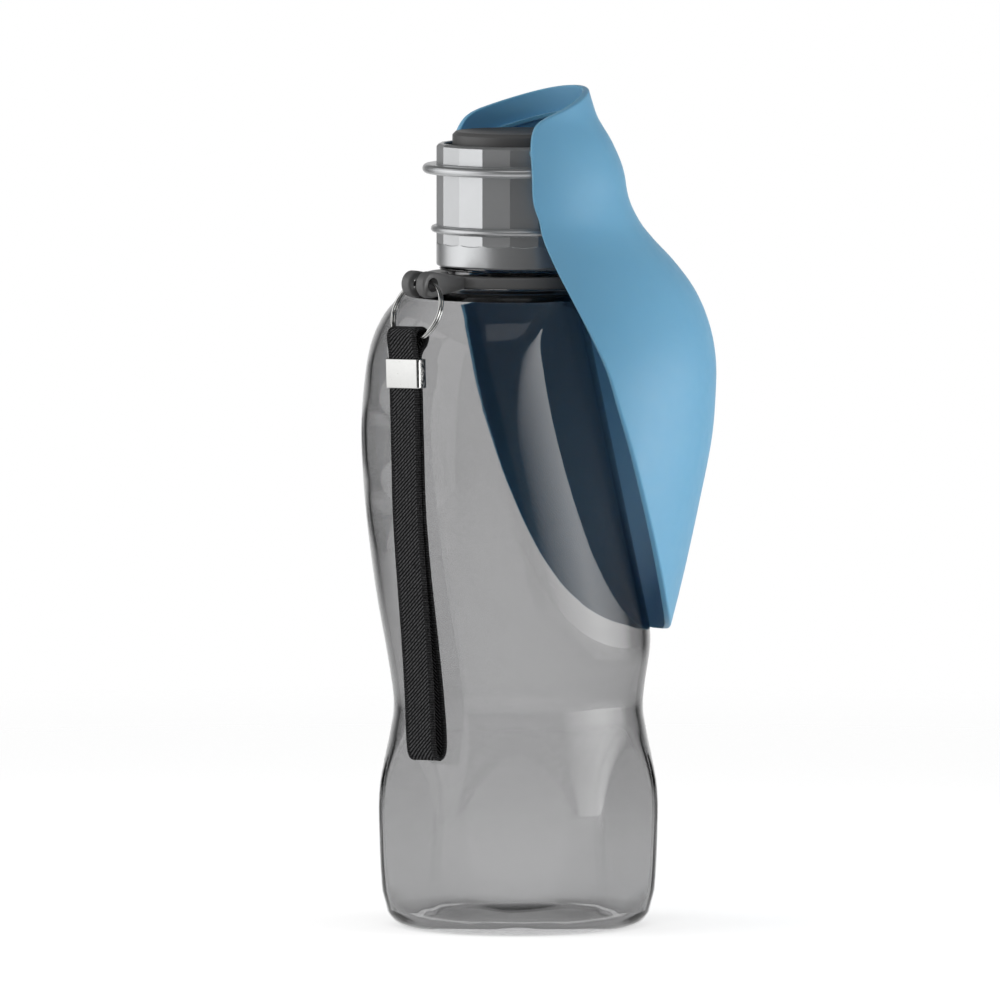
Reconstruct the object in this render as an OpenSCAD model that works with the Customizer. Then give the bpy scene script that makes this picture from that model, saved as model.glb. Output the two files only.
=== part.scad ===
// Travel water bottle for a dog. A clear bottle carries a screw cap with a pull-up valve. A leaf of
// soft silicone wraps the cap like a hood, lies folded in a recess of the bottle, and swings out as
// a drinking bowl. A loose collar under the cap holds a split ring and a wrist strap.
// Millimetres, +Z up, origin at the centre of the base. The folded leaf lies on the +X side.

/* [Bottle] */
// Wall of the clear bottle
bottle_wall = 2; // [1.6:0.1:2.4]
// Radius of the bottle at its full grip, below the shoulder
grip_radius = 46; // [44:0.1:47]
// Depth of the six flat panels cut into the foot
panel_depth = 3.2; // [2.4:0.1:3.6]
// Angle by which the ring of flat panels is turned
panel_turn = 6; // [0:1:60]
// Height of the dome pushed up into the base
kick_height = 5; // [3:0.5:8]
// Depth of the four finger grooves
groove_depth = 2.2; // [1.4:0.1:3]
// Radius of each finger groove
groove_radius = 20; // [16:1:26]
// Spacing of the finger grooves up the bottle
groove_pitch = 24.2; // [22:0.1:26]
// Radius of the scooped front that the leaf folds into
scoop_radius = 40; // [39:0.5:42]
// Lean of the scooped front from upright, in degrees
scoop_lean = 12.7; // [11.5:0.1:14]

/* [Neck] */
// Outer radius of the neck
neck_radius = 20.8; // [20.2:0.1:21]
// Wall of the neck
neck_wall = 2.2; // [1.8:0.1:2.6]
// Length of the neck above the shoulder
neck_length = 23.5; // [22.8:0.1:24]
// How far the collar's retaining flange stands out of the neck
flange_depth = 2.4; // [1:0.1:2.7]

/* [Cap] */
// Radius of the cap's skirt and of its facet corners
cap_radius = 24.1; // [23.9:0.1:24.6]
// Wall of the cap's skirt
cap_wall = 1.4; // [1.2:0.1:1.8]
// Number of grip facets round the cap
facet_count = 18; // [16:1:24]
// Radius of the big bead that the leaf's hood springs over
upper_bead_radius = 28.2; // [27:0.1:28.4]
// Radius of the small lower bead
lower_bead_radius = 25.7; // [25.2:0.1:27]
// How far the plug lifts to open the valve
plug_travel = 3.5; // [2.5:0.1:4.2]
// Radius of the plug
plug_radius = 19.4; // [18:0.1:19.8]
// Radius of the valve stem
stem_radius = 2.5; // [2:0.1:3]
// Radius of the bore that the valve seal closes
seat_bore = 7; // [6.5:0.1:8]

/* [Leaf] */
// Thickness of the silicone
leaf_wall = 2; // [1.6:0.1:2.1]
// How far the inner ledge stands out of the hood's wall
ledge_depth = 1.6; // [1:0.1:2]
// Thickness of the inner ledge
ledge_height = 1.2; // [0.8:0.1:1.8]
// Distance of the inner ledge below the rim
ledge_drop = 7.3; // [6:0.1:8]

/* [Carrying ring and strap] */
// Direction of the collar's ear round the bottle, in degrees from +X
ear_turn = 200.5; // [170:0.5:215]
// Distance from the bottle's axis to the hole through the ear
ear_reach = 39.7; // [39.2:0.1:41]
// Radius of the hole through the ear
ear_hole = 2.1; // [2:0.05:2.4]
// Thickness of each of the ear's two plates
ear_plate = 3.6; // [3:0.1:3.8]
// Gap between the ear's two plates
ear_gap = 2.5; // [2:0.1:3]
// Radius of the split ring, to the middle of its wire
ring_radius = 9.4; // [9.3:0.1:10]
// Thickness of the ring's wire
ring_wire = 1; // [0.8:0.05:1.05]
// Width of the strap webbing
strap_width = 12; // [10:0.5:12.5]
// Thickness of the strap webbing
strap_thick = 1.1; // [0.9:0.05:1.15]
// Width of the metal clasp
clasp_width = 14; // [13.5:0.1:16]
// Height of the metal clasp
clasp_height = 8.6; // [7:0.1:8.8]

/* [Hidden] */
slack = 0.05;        // running clearance of turning and sliding fits, on the radius
rest_gap = 0.3;      // gap that soft pieces keep from what they rest on
tiny = 0.01;

// Bottle levels
shoulder_z = 188.5;
neck_top_z = shoulder_z + neck_length;
pad_radius = 26.5;       // disc that carries the neck across the scooped front
pad_low_z = 182.5;
panel_top_z = 57;        // top of the arch over each flat panel
panel_low_z = 3;
scoop_low_z = 80;
scoop_foot_x = -2.7;     // where the scoop's axis crosses the height scoop_foot_z
scoop_foot_z = 90;
lowest_groove_z = 96;
groove_count = 4;
foot_radius = grip_radius - 5.1;   // the belly that the flat panels are cut into
panel_reach = foot_radius - panel_depth;
big = 70;                // half-size of cutting blocks

// Collar levels
collar_low_z = 189.1;
collar_height = 3.3;
collar_wide = 27.3;
flange_z = collar_low_z + collar_height + 1;
flange_height = 0.9;

// Cap levels
skirt_low_z = flange_z + flange_height + rest_gap;
facet_low_z = skirt_low_z + 6.4;
cap_top_z = 230.5;
rim_chamfer = 0.7;
cap_bore = cap_radius - cap_wall - 0.75;
gasket_height = 1.7;
gasket_low_z = neck_top_z + 0.02;
deck_low_z = gasket_low_z + gasket_height;
deck_thick = 2.5;
deck_top_z = deck_low_z + deck_thick;
well_radius = plug_radius + 2.4;
upper_bead_z = 223.1;
upper_bead_height = 2.8;
lower_bead_z = 205.4;
lower_bead_height = 2;

// Valve levels: the seat hangs through the deck and the stem slides in its spider
sleeve_wall = 2;
sleeve_radius = seat_bore + sleeve_wall;
seat_flange_radius = sleeve_radius + 4;
washer_height = 0.8;
seat_flange_z = deck_top_z + washer_height;
seat_flange_height = 1.4;
seat_mouth = seat_bore + 2.4;
spider_low_z = deck_low_z - 6.5;
spider_height = 1.8;
spider_arms = 3;
spider_turn = 40;
spider_arm_width = 2.2;
hub_radius = stem_radius + 1.8;
bore_top_z = deck_low_z + 1;
seal_height = 2;
seal_low_z = bore_top_z - seal_height - 0.6;
land_height = 0.9;
land_radius = seat_bore - 0.7;
groove_floor = seat_bore - 2;
clip_height = 1;
clip_top_z = spider_low_z - plug_travel - slack;
clip_radius = stem_radius + 1.6;
clip_groove = 0.6;
stem_low_z = clip_top_z - clip_height - 1.2;
plug_top_z = cap_top_z + 3.5;
plug_crown = 2;
plug_wall = 1.8;
plug_chamfer = 1;
plug_low_z = cap_top_z - 5.5;
stem_top_z = plug_top_z - plug_crown - slack;
boss_radius = stem_radius + 2;
boss_height = 6;

// Ear, ring and strap, all in a frame turned to the ear: x outward, y round the bottle
ear_z = collar_low_z + collar_height / 2;
ear_eye = ear_hole + 1.8;
ear_half = ear_gap / 2 + ear_plate;
ring_shift = 1.3;        // the ring hangs this far to one side in its loose hole
ring_hang = 8.3;         // from the hole's axis to the ring's centre
ring_turn_gap = 0.45;    // each of the two turns lies this far from the ring's middle plane
ring_foot_x = grip_radius + 0.33;    // the ring's foot lies against the back of the grip
ring_lean = asin((ring_foot_x - ear_reach) / (ring_hang + ring_radius));
ring_foot_z = ear_z - (ring_hang + ring_radius) * cos(ring_lean);
strap_side_lean = 2;
strand_gap = 0.3;
back_strand_x = grip_radius + 0.2 + rest_gap + strap_thick / 2;
front_strand_x = back_strand_x + strap_thick + strand_gap;
clasp_top_z = ring_foot_z - 4.94;
clasp_wall = 0.6;
eye_x = ring_foot_x + 0.15;
eye_half = 2.05 + strap_thick / 2;
eye_z = ring_foot_z + 1.4;

// ---- Curves ----

// Smooth curve through four neighbours, t from 0 to 1 between the middle two
function through(a, b, c, d, t) =
    b + t * ((c - a) / 2 + t * ((a - 2.5 * b + 2 * c - d / 2) + t * (1.5 * (b - c) + (d - a) / 2)));

// Open curve through every point, each stretch cut in n steps
function smooth(p, n) =
    let (last = len(p) - 1)
    concat([for (i = [0 : last - 1], k = [0 : n - 1])
        through(p[max(i - 1, 0)], p[i], p[i + 1], p[min(i + 2, last)], k / n)], [p[last]]);

// Closed curve through every point
function smooth_loop(p, n) =
    let (m = len(p))
    [for (i = [0 : m - 1], k = [0 : n - 1])
        through(p[(i + m - 1) % m], p[i], p[(i + 1) % m], p[(i + 2) % m], k / n)];

// The loop moved sideways by a distance, along its own normals
function beside(p, d) =
    let (m = len(p))
    [for (i = [0 : m - 1])
        let (way = p[(i + 1) % m] - p[(i + m - 1) % m])
        p[i] + d * [way[1], -way[0]] / norm(way)];

// ---- Bottle ----

// Radius and height up the outside: bellied foot, waist, full grip and round shoulder
side_points = [for (p = [[-5.9, 10.3], [-5.1, 25], [-5.2, 41], [-8.2, 56.9], [-9.3, 66],
                         [-7.5, 79.6], [-4, 99.4], [-1, 123.6], [0.2, 145], [-0.8, 161],
                         [-2.8, 172], [-6.5, 180], [-10.9, 185.2]])
               [grip_radius + p[0], p[1]]];

function side(inset) = [for (p = smooth(side_points, 2)) [p[0] - inset, p[1]]];

// Foot: dome, flat ring to stand on, and a round heel
function foot(inset) =
    [[0, kick_height + inset], [foot_radius - 26.9, kick_height * 0.76 + inset],
     [foot_radius - 18.9, kick_height * 0.36 + inset], [foot_radius - 13.9, inset],
     [foot_radius - 7.9, inset], [foot_radius - 4.3 - inset / 2, 1.7 + inset / 2],
     [foot_radius - 1.9 - inset, 5]];

module solid_bottle(inset) {
    rotate_extrude($fn = 96)
        polygon(concat(foot(inset), side(inset),
            [[pad_radius + 3.5 - inset, shoulder_z - 1 - inset], [pad_radius - inset, shoulder_z - inset],
             [0, shoulder_z - inset]]));
}

// What is cut away in front of the scoop, leaving the disc under the neck
module scoop_waste(inset) {
    difference() {
        translate([-big, -big, scoop_low_z - inset])
            cube([2 * big, 2 * big, shoulder_z - scoop_low_z + inset + 1]);
        translate([scoop_foot_x, 0, scoop_foot_z]) rotate([0, -scoop_lean, 0])
            cylinder(h = 4 * big, r = scoop_radius - inset, center = true, $fn = 96);
        translate([0, 0, pad_low_z + inset])
            cylinder(h = big, r = pad_radius - inset, $fn = 96);
    }
}

module groove_waste(inset) {
    for (i = [0 : groove_count - 1])
        translate([-(grip_radius + groove_radius - groove_depth), 0,
                   lowest_groove_z + i * groove_pitch])
            rotate([90, 0, 0])
                cylinder(h = 2 * big, r = groove_radius + inset, center = true, $fn = 64);
}

module panel_waste(inset) {
    for (a = [0 : 60 : 300])
        rotate([0, 0, panel_turn + a])
            translate([panel_reach - inset, -big, panel_low_z])
                cube([big, 2 * big, panel_top_z - panel_low_z + inset]);
}

module neck() {
    translate([0, 0, shoulder_z - 1])
        cylinder(h = neck_length + 1, r = neck_radius, $fn = 96);
    translate([0, 0, flange_z])
        cylinder(h = flange_height, r = neck_radius + flange_depth, $fn = 96);
}

module bottle_body() {
    color([0.55, 0.58, 0.6, 0.45])
    difference() {
        union() {
            difference() {
                solid_bottle(0);
                scoop_waste(0);
                groove_waste(0);
                panel_waste(0);
            }
            neck();
        }
        difference() {
            solid_bottle(bottle_wall);
            scoop_waste(bottle_wall);
            groove_waste(bottle_wall);
            panel_waste(bottle_wall);
        }
        translate([0, 0, pad_low_z + bottle_wall + tiny])
            cylinder(h = neck_top_z, r = neck_radius - neck_wall, $fn = 96);
    }
}

// ---- Cap ----

module ring_of(low, high, inner, outer) {
    translate([0, 0, low])
        difference() {
            cylinder(h = high - low, r = outer, $fn = 96);
            translate([0, 0, -1])
                cylinder(h = high - low + 2, r = inner, $fn = 96);
        }
}

module neck_gasket() {
    color([0.85, 0.86, 0.86])
    ring_of(gasket_low_z, deck_low_z - 0.02, neck_radius - neck_wall + 0.2, neck_radius + 0.6);
}

// Round-edged bead standing out of the cap
module bead(reach, height, z) {
    translate([0, 0, z])
        rotate_extrude($fn = 96) {
            translate([cap_radius - 1.5, -height / 2])
                square([reach - cap_radius + 1.5 - height / 2, height]);
            translate([reach - height / 2, 0]) circle(r = height / 2, $fn = 32);
        }
}

function facet_corners() =
    [for (i = [0 : facet_count - 1])
        let (a = 360 * i / facet_count)
        cap_radius * [cos(a), sin(a)]];

module cap_body() {
    color([0.5, 0.5, 0.51])
    difference() {
        union() {
            translate([0, 0, skirt_low_z])
                cylinder(h = facet_low_z - skirt_low_z, r = cap_radius, $fn = 96);
            intersection() {
                translate([0, 0, facet_low_z])
                    linear_extrude(height = cap_top_z - facet_low_z) polygon(facet_corners());
                union() {
                    cylinder(h = cap_top_z - rim_chamfer, r = cap_radius + 1, $fn = 96);
                    translate([0, 0, cap_top_z - rim_chamfer])
                        cylinder(h = rim_chamfer, r1 = cap_radius, r2 = cap_radius - rim_chamfer,
                                 $fn = 96);
                }
            }
            bead(upper_bead_radius, upper_bead_height, upper_bead_z);
            bead(lower_bead_radius, lower_bead_height, lower_bead_z);
        }
        translate([0, 0, skirt_low_z - 1])
            cylinder(h = deck_low_z - skirt_low_z + 1, r = cap_bore, $fn = 96);
        translate([0, 0, deck_low_z - 1])
            cylinder(h = deck_thick + 2, r = sleeve_radius + slack, $fn = 64);
        translate([0, 0, deck_top_z])
            cylinder(h = big, r = well_radius, $fn = 96);
    }
}

module seat_washer() {
    color([0.85, 0.86, 0.86])
    ring_of(deck_top_z, seat_flange_z, sleeve_radius + slack, seat_flange_radius);
}

// Flanged sleeve with a flared mouth, and a spider at its foot that guides the stem
module valve_seat() {
    seat_top_z = seat_flange_z + seat_flange_height;
    color([0.3, 0.3, 0.31])
    difference() {
        union() {
            rotate_extrude($fn = 96)
                polygon([[seat_bore, spider_low_z], [sleeve_radius, spider_low_z],
                         [sleeve_radius, seat_flange_z], [seat_flange_radius, seat_flange_z],
                         [seat_flange_radius, seat_top_z], [seat_mouth, seat_top_z],
                         [seat_bore, bore_top_z]]);
            translate([0, 0, spider_low_z]) {
                cylinder(h = spider_height, r = hub_radius, $fn = 96);
                for (i = [0 : spider_arms - 1])
                    rotate([0, 0, spider_turn + i * 360 / spider_arms])
                        translate([0, -spider_arm_width / 2, 0])
                            cube([seat_bore + sleeve_wall / 2, spider_arm_width, spider_height]);
            }
        }
        translate([0, 0, spider_low_z - 1])
            cylinder(h = spider_height + 2, r = stem_radius + slack, $fn = 96);
    }
}

module valve_plug() {
    color([0.32, 0.32, 0.33])
    difference() {
        union() {
            translate([0, 0, plug_low_z])
                cylinder(h = plug_top_z - plug_chamfer - plug_low_z, r = plug_radius, $fn = 96);
            translate([0, 0, plug_top_z - plug_chamfer])
                cylinder(h = plug_chamfer, r1 = plug_radius, r2 = plug_radius - plug_chamfer,
                         $fn = 96);
        }
        difference() {
            translate([0, 0, plug_low_z - 1])
                cylinder(h = plug_top_z - plug_crown - plug_low_z + 1,
                         r = plug_radius - plug_wall, $fn = 96);
            translate([0, 0, plug_top_z - plug_crown - boss_height])
                cylinder(h = boss_height + 1, r = boss_radius, $fn = 48);
        }
        translate([0, 0, plug_low_z - 1])
            cylinder(h = stem_top_z + slack - plug_low_z + 1, r = stem_radius + slack, $fn = 48);
    }
}

// Rod with two lands that hold the seal, and a groove for the clip
module valve_stem() {
    color([0.75, 0.75, 0.77])
    difference() {
        union() {
            translate([0, 0, stem_low_z])
                cylinder(h = stem_top_z - stem_low_z, r = stem_radius, $fn = 48);
            translate([0, 0, seal_low_z - land_height])
                cylinder(h = land_height, r = land_radius, $fn = 64);
            translate([0, 0, seal_low_z])
                cylinder(h = seal_height, r = groove_floor, $fn = 64);
            translate([0, 0, seal_low_z + seal_height])
                cylinder(h = land_height, r = land_radius, $fn = 64);
        }
        ring_of(clip_top_z - clip_height, clip_top_z, stem_radius - clip_groove,
                stem_radius + 1);
    }
}

module stem_seal() {
    color([0.1, 0.1, 0.1])
    ring_of(seal_low_z + slack, seal_low_z + seal_height - slack, groove_floor + slack / 2,
            seat_bore - 0.03);
}

// Open clip: a ring with one side cut out so that it pushes onto the stem
module stem_clip() {
    color([0.75, 0.75, 0.77])
    difference() {
        ring_of(clip_top_z - clip_height + slack, clip_top_z - slack,
                stem_radius - clip_groove + slack, clip_radius);
        translate([0, -stem_radius + clip_groove + 0.2, clip_top_z - 2 * clip_height])
            cube([big, 2 * (stem_radius - clip_groove - 0.2), 3 * clip_height]);
    }
}

// ---- Leaf ----

// Each row of the leaf is an arc: height, centre of the arc on X, radius, half-angle
leaf_rows = [[86.4, -4.3, 48.2, 8], [88, -4.3, 48.6, 29], [91.5, -4.3, 49.5, 37.8],
             [97, -4.3, 50.9, 45.1], [107.6, -3.3, 52.5, 55.6], [125, 0.4, 52.9, 68.9],
             [143, 4.5, 52.7, 80.4], [155, 6.5, 52, 86.8], [166.6, 8.3, 50.5, 92.5],
             [177, 9.6, 47.4, 98.9], [187, 9.9, 42.9, 105.1], [195.5, 8.5, 38, 109],
             [202, 6.2, 34.1, 110], [207, 4, 32.2, 109.5], [214, 0.9, 31.7, 107.5],
             [223, 0, upper_bead_radius + leaf_wall + rest_gap + 0.25, 106],
             [231, -1.6, 28.9, 104.5], [238, -3, 26.1, 103], [243, -3.8, 25.1, 100.5],
             [245.7, -4.2, 24.7, 96.5], [246.7, -4.3, 24.6, 91], [247, -4.3, 24.6, 86]];
leaf_low_z = leaf_rows[0][0];
leaf_top_z = leaf_rows[len(leaf_rows) - 1][0];
rim_fall = 8.2;          // how far the rim falls from the front to the side
fall_start_z = 196;
leaf_columns = 22;

function slope(i, k) =
    let (a = max(i - 1, 0), b = min(i + 1, len(leaf_rows) - 1))
    (leaf_rows[b][k] - leaf_rows[a][k]) / (leaf_rows[b][0] - leaf_rows[a][0]);

// Column k of the rows at height z, along a smooth curve
function leaf_at(z, k) =
    let (i = min(max([for (j = [0 : len(leaf_rows) - 2]) if (leaf_rows[j][0] <= z) j]),
                 len(leaf_rows) - 2),
         h = leaf_rows[i + 1][0] - leaf_rows[i][0],
         t = (z - leaf_rows[i][0]) / h)
    leaf_rows[i][k] * (1 + 2 * t) * pow(1 - t, 2) + leaf_rows[i + 1][k] * t * t * (3 - 2 * t)
        + h * (slope(i, k) * t * pow(1 - t, 2) + slope(i + 1, k) * t * t * (t - 1));

// Heights of the mesh rows: close at the tip, ledge and rim
ledge_top_z = leaf_top_z - ledge_drop;
ledge_low_z = ledge_top_z - ledge_height;
body_rows = 18;
leaf_levels = concat(
    [for (k = [0 : 4]) leaf_low_z + 10 * pow(k / 5, 2)],
    [for (k = [0 : body_rows])
        leaf_low_z + 10 + (ledge_low_z - 2.5 - leaf_low_z - 10) * k / body_rows],
    [ledge_low_z - 0.05, ledge_low_z, ledge_top_z, ledge_top_z + 0.05],
    [leaf_top_z - 4, leaf_top_z - 2, leaf_top_z - 1, leaf_top_z - 0.3, leaf_top_z]);

function leaf_wall_at(z) = leaf_wall + (z >= ledge_low_z && z <= ledge_top_z ? ledge_depth : 0);

function fall(z, a) =
    let (t = min(max((z - fall_start_z) / (ledge_low_z - fall_start_z), 0), 1))
    rim_fall * (1 - cos(a)) * t * t * (3 - 2 * t);

function leaf_point(z, across, inset) =
    let (a = across * leaf_at(z, 3), low = z - fall(z, a), r = leaf_at(low, 2) - inset)
    [leaf_at(low, 1) + r * cos(a), r * sin(a), low];

module silicone_bowl() {
    rows = len(leaf_levels);
    cols = leaf_columns + 1;
    skin = rows * cols;
    points = [for (side = [0, 1], z = leaf_levels, j = [0 : leaf_columns])
        leaf_point(z, 2 * j / leaf_columns - 1, side * leaf_wall_at(z))];
    outer = [for (i = [0 : rows - 2], j = [0 : cols - 2])
        let (a = i * cols + j)
        each [[a, a + cols, a + cols + 1], [a, a + cols + 1, a + 1]]];
    inner = [for (f = outer) [f[2] + skin, f[1] + skin, f[0] + skin]];
    ends = [for (j = [0 : cols - 2])
        let (top = (rows - 1) * cols + j)
        each [[j, j + 1, j + 1 + skin], [j, j + 1 + skin, j + skin],
              [top, top + skin, top + 1 + skin], [top, top + 1 + skin, top + 1]]];
    edges = [for (i = [0 : rows - 2])
        let (a = i * cols, b = a + cols - 1)
        each [[a, a + skin, a + cols + skin], [a, a + cols + skin, a + cols],
              [b, b + cols, b + cols + skin], [b, b + cols + skin, b + skin]]];
    color([0.42, 0.68, 0.85])
    polyhedron(points, concat(outer, inner, ends, edges));
}

// ---- Collar, ring and strap ----

module ear_profile() {
    circle(r = ear_eye, $fn = 48);
    polygon([[collar_wide - 1 - ear_reach, -collar_height / 2], [0, -ear_eye],
             [0, ear_eye], [collar_wide - 1 - ear_reach, collar_height / 2]]);
}

module strap_collar() {
    color([0.28, 0.28, 0.29])
    difference() {
        union() {
            translate([0, 0, collar_low_z]) cylinder(h = collar_height, r = collar_wide, $fn = 96);
            rotate([0, 0, ear_turn]) translate([ear_reach, 0, ear_z])
                for (s = [-1, 1])
                    translate([0, s * (ear_gap + ear_plate) / 2, 0]) rotate([90, 0, 0])
                        linear_extrude(height = ear_plate, center = true) ear_profile();
        }
        translate([0, 0, collar_low_z - 1])
            cylinder(h = collar_height + 2, r = neck_radius + 2 * slack, $fn = 96);
        rotate([0, 0, ear_turn]) translate([ear_reach, 0, ear_z]) rotate([90, 0, 0])
            cylinder(h = 4 * ear_half, r = ear_hole, center = true, $fn = 48);
    }
}

// Two turns of wire side by side
module split_ring() {
    color([0.85, 0.85, 0.87])
    rotate([0, 0, ear_turn]) translate([ear_reach, 0, ear_z]) rotate([0, -ring_lean, 0])
        translate([0, ring_shift, -ring_hang]) rotate([0, 90, 0])
            rotate_extrude($fn = 96)
                for (s = [-1, 1])
                    translate([ring_radius, s * ring_turn_gap]) circle(r = ring_wire / 2, $fn = 24);
}

// Middle line of the webbing: up the back strand, over the ring, down the front strand
strap_route = [[back_strand_x - 6.35, 58], [back_strand_x - 5.65, 70], [back_strand_x - 3.85, 87],
               [back_strand_x - 1.65, 106], [back_strand_x - 0.2, 124], [back_strand_x, 140],
               [back_strand_x, clasp_top_z - clasp_height - 1],
               [back_strand_x, clasp_top_z + 0.5], [eye_x - eye_half + 0.7, eye_z - 2.2],
               [eye_x - eye_half, eye_z], [eye_x - eye_half * 0.7, eye_z + eye_half * 0.75],
               [eye_x, eye_z + eye_half],
               [eye_x + eye_half * 0.7, eye_z + eye_half * 0.75], [eye_x + eye_half, eye_z],
               [front_strand_x + 0.3, clasp_top_z + 3.4], [front_strand_x, clasp_top_z + 0.8],
               [front_strand_x, clasp_top_z - clasp_height - 1], [front_strand_x, 140],
               [front_strand_x, 124], [front_strand_x - 0.95, 106], [front_strand_x - 2.25, 87],
               [front_strand_x - 3.05, 70], [front_strand_x - 3.25, 58],
               [front_strand_x - 3.85, 53.4], [front_strand_x - 5.45, 52],
               [back_strand_x - 5.85, 53.6]];

// Turned to the ear, moved to the ring and leaned a little sideways
module at_strap() {
    rotate([0, 0, ear_turn]) translate([0, ring_shift, ring_foot_z])
        rotate([strap_side_lean, 0, 0]) translate([0, 0, -ring_foot_z]) children();
}

module strap_loop() {
    middle = smooth_loop(strap_route, 4);
    color([0.1, 0.1, 0.11])
    at_strap() rotate([90, 0, 0])
        linear_extrude(height = strap_width, center = true)
            difference() {
                polygon(beside(middle, -strap_thick / 2));
                polygon(beside(middle, strap_thick / 2));
            }
}

// Pressed metal sleeve round both strands
module strap_clasp() {
    depth = 2 * strap_thick + strand_gap + 2 * slack + 2 * clasp_wall;
    color([0.85, 0.85, 0.87])
    at_strap()
        translate([(back_strand_x + front_strand_x) / 2, 0, clasp_top_z - clasp_height / 2])
            difference() {
                cube([depth, clasp_width, clasp_height], center = true);
                cube([depth - 2 * clasp_wall, clasp_width - 2 * clasp_wall, clasp_height + 1],
                     center = true);
            }
}

// ---- Assembly ----
bottle_body();
neck_gasket();
cap_body();
seat_washer();
valve_seat();
valve_plug();
valve_stem();
stem_seal();
stem_clip();
silicone_bowl();
strap_collar();
split_ring();
strap_loop();
strap_clasp();
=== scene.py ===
# %% [markdown]
# # A travel water bottle with a folded drinking leaf
# The imported model gives every piece its place. This script dresses it: each piece that shows gets a
# smooth surface worked out with numpy, and a finish built from nodes. We start by loading the packed
# model.

# %% Load the imported model
import math

import bmesh
import bpy
import numpy as np
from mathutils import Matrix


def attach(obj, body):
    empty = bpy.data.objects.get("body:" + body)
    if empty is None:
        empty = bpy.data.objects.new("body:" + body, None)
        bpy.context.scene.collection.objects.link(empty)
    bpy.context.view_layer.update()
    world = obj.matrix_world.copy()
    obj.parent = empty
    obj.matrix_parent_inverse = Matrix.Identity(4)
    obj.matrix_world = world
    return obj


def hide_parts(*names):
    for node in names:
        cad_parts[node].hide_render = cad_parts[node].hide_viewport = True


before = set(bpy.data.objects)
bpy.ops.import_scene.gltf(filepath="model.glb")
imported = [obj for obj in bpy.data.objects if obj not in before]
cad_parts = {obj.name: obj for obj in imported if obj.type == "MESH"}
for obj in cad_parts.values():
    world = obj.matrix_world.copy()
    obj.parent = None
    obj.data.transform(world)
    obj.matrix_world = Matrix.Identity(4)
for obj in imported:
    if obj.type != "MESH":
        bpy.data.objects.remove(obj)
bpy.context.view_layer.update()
MM = 0.001

# %% [markdown]
# ## The camera
# The view is taken from far away with a very long lens, so upright lines stay parallel. We name what
# the frame shows: how many millimetres it is wide, how far the bottle's axis stands right of the
# middle, and the height on the axis that lies at the middle. The distance follows from the lens. A
# camera could be dragged into place by hand; worked out like this it gives the same view each time.

# %% Place the camera
view_azimuth = math.radians(-24)
view_elevation = math.radians(4.5)
frame_width = 294 * MM
axis_right_of_middle = 5.4 * MM
middle_height = 125.3 * MM
lens, sensor = 690, 36  # in millimetres, the unit that Blender keeps for these two
view_distance = frame_width / 2 / (sensor / 2 / lens)

to_camera = np.array([math.sin(view_azimuth) * math.cos(view_elevation),
                      -math.cos(view_azimuth) * math.cos(view_elevation),
                      math.sin(view_elevation)])
image_right = np.array([math.cos(view_azimuth), math.sin(view_azimuth), 0])
aim = np.array([0, 0, middle_height]) - image_right * axis_right_of_middle

camera_data = bpy.data.cameras.new("camera")
camera_data.lens, camera_data.sensor_width = lens, sensor
camera_data.clip_end = 50  # well past the far edge of the floor
camera = bpy.data.objects.new("camera", camera_data)
camera.location = aim + to_camera * view_distance
camera.rotation_euler = (math.pi / 2 - view_elevation, 0, view_azimuth)
bpy.context.scene.collection.objects.link(camera)
bpy.context.scene.camera = camera
print("camera stands", round(view_distance, 2), "m away")

# %% [markdown]
# ## Shader maths
# A pattern in Blender is a web of small nodes. They could be dragged and joined by hand, but then no
# one can read the formula back. So one class stands for a socket, and a sum written with it adds the
# nodes that work it out; another stands for a whole finish and adds any other node.

# %% Numbers that can be added
class Number:
    """A socket that carries a number or a colour. Arithmetic on it adds Math nodes."""

    def __init__(self, finish, socket):
        self.finish, self.socket = finish, socket

    def maths(self, operation, *values):
        """A Math node of the named operation, with its values in order."""
        return self.finish.node("ShaderNodeMath", {"operation": operation},
                                dict(enumerate(values)))

    def at_most(self, limit):
        """The smaller of this number and a limit."""
        return self.maths("MINIMUM", self, limit)

    def below(self, limit):
        """1 where this number is below a limit, and 0 elsewhere."""
        return self.maths("LESS_THAN", self, limit)

    def above(self, limit):
        """1 where this number is above a limit, and 0 elsewhere."""
        return self.maths("GREATER_THAN", self, limit)

    def __add__(self, other):
        return self.maths("ADD", self, other)

    def __radd__(self, other):
        return self.maths("ADD", other, self)

    def __sub__(self, other):
        return self.maths("SUBTRACT", self, other)

    def __rsub__(self, other):
        return self.maths("SUBTRACT", other, self)

    def __mul__(self, other):
        return self.maths("MULTIPLY", self, other)

    def __rmul__(self, other):
        return self.maths("MULTIPLY", other, self)


print("a socket can now be added, subtracted and multiplied")


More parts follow.
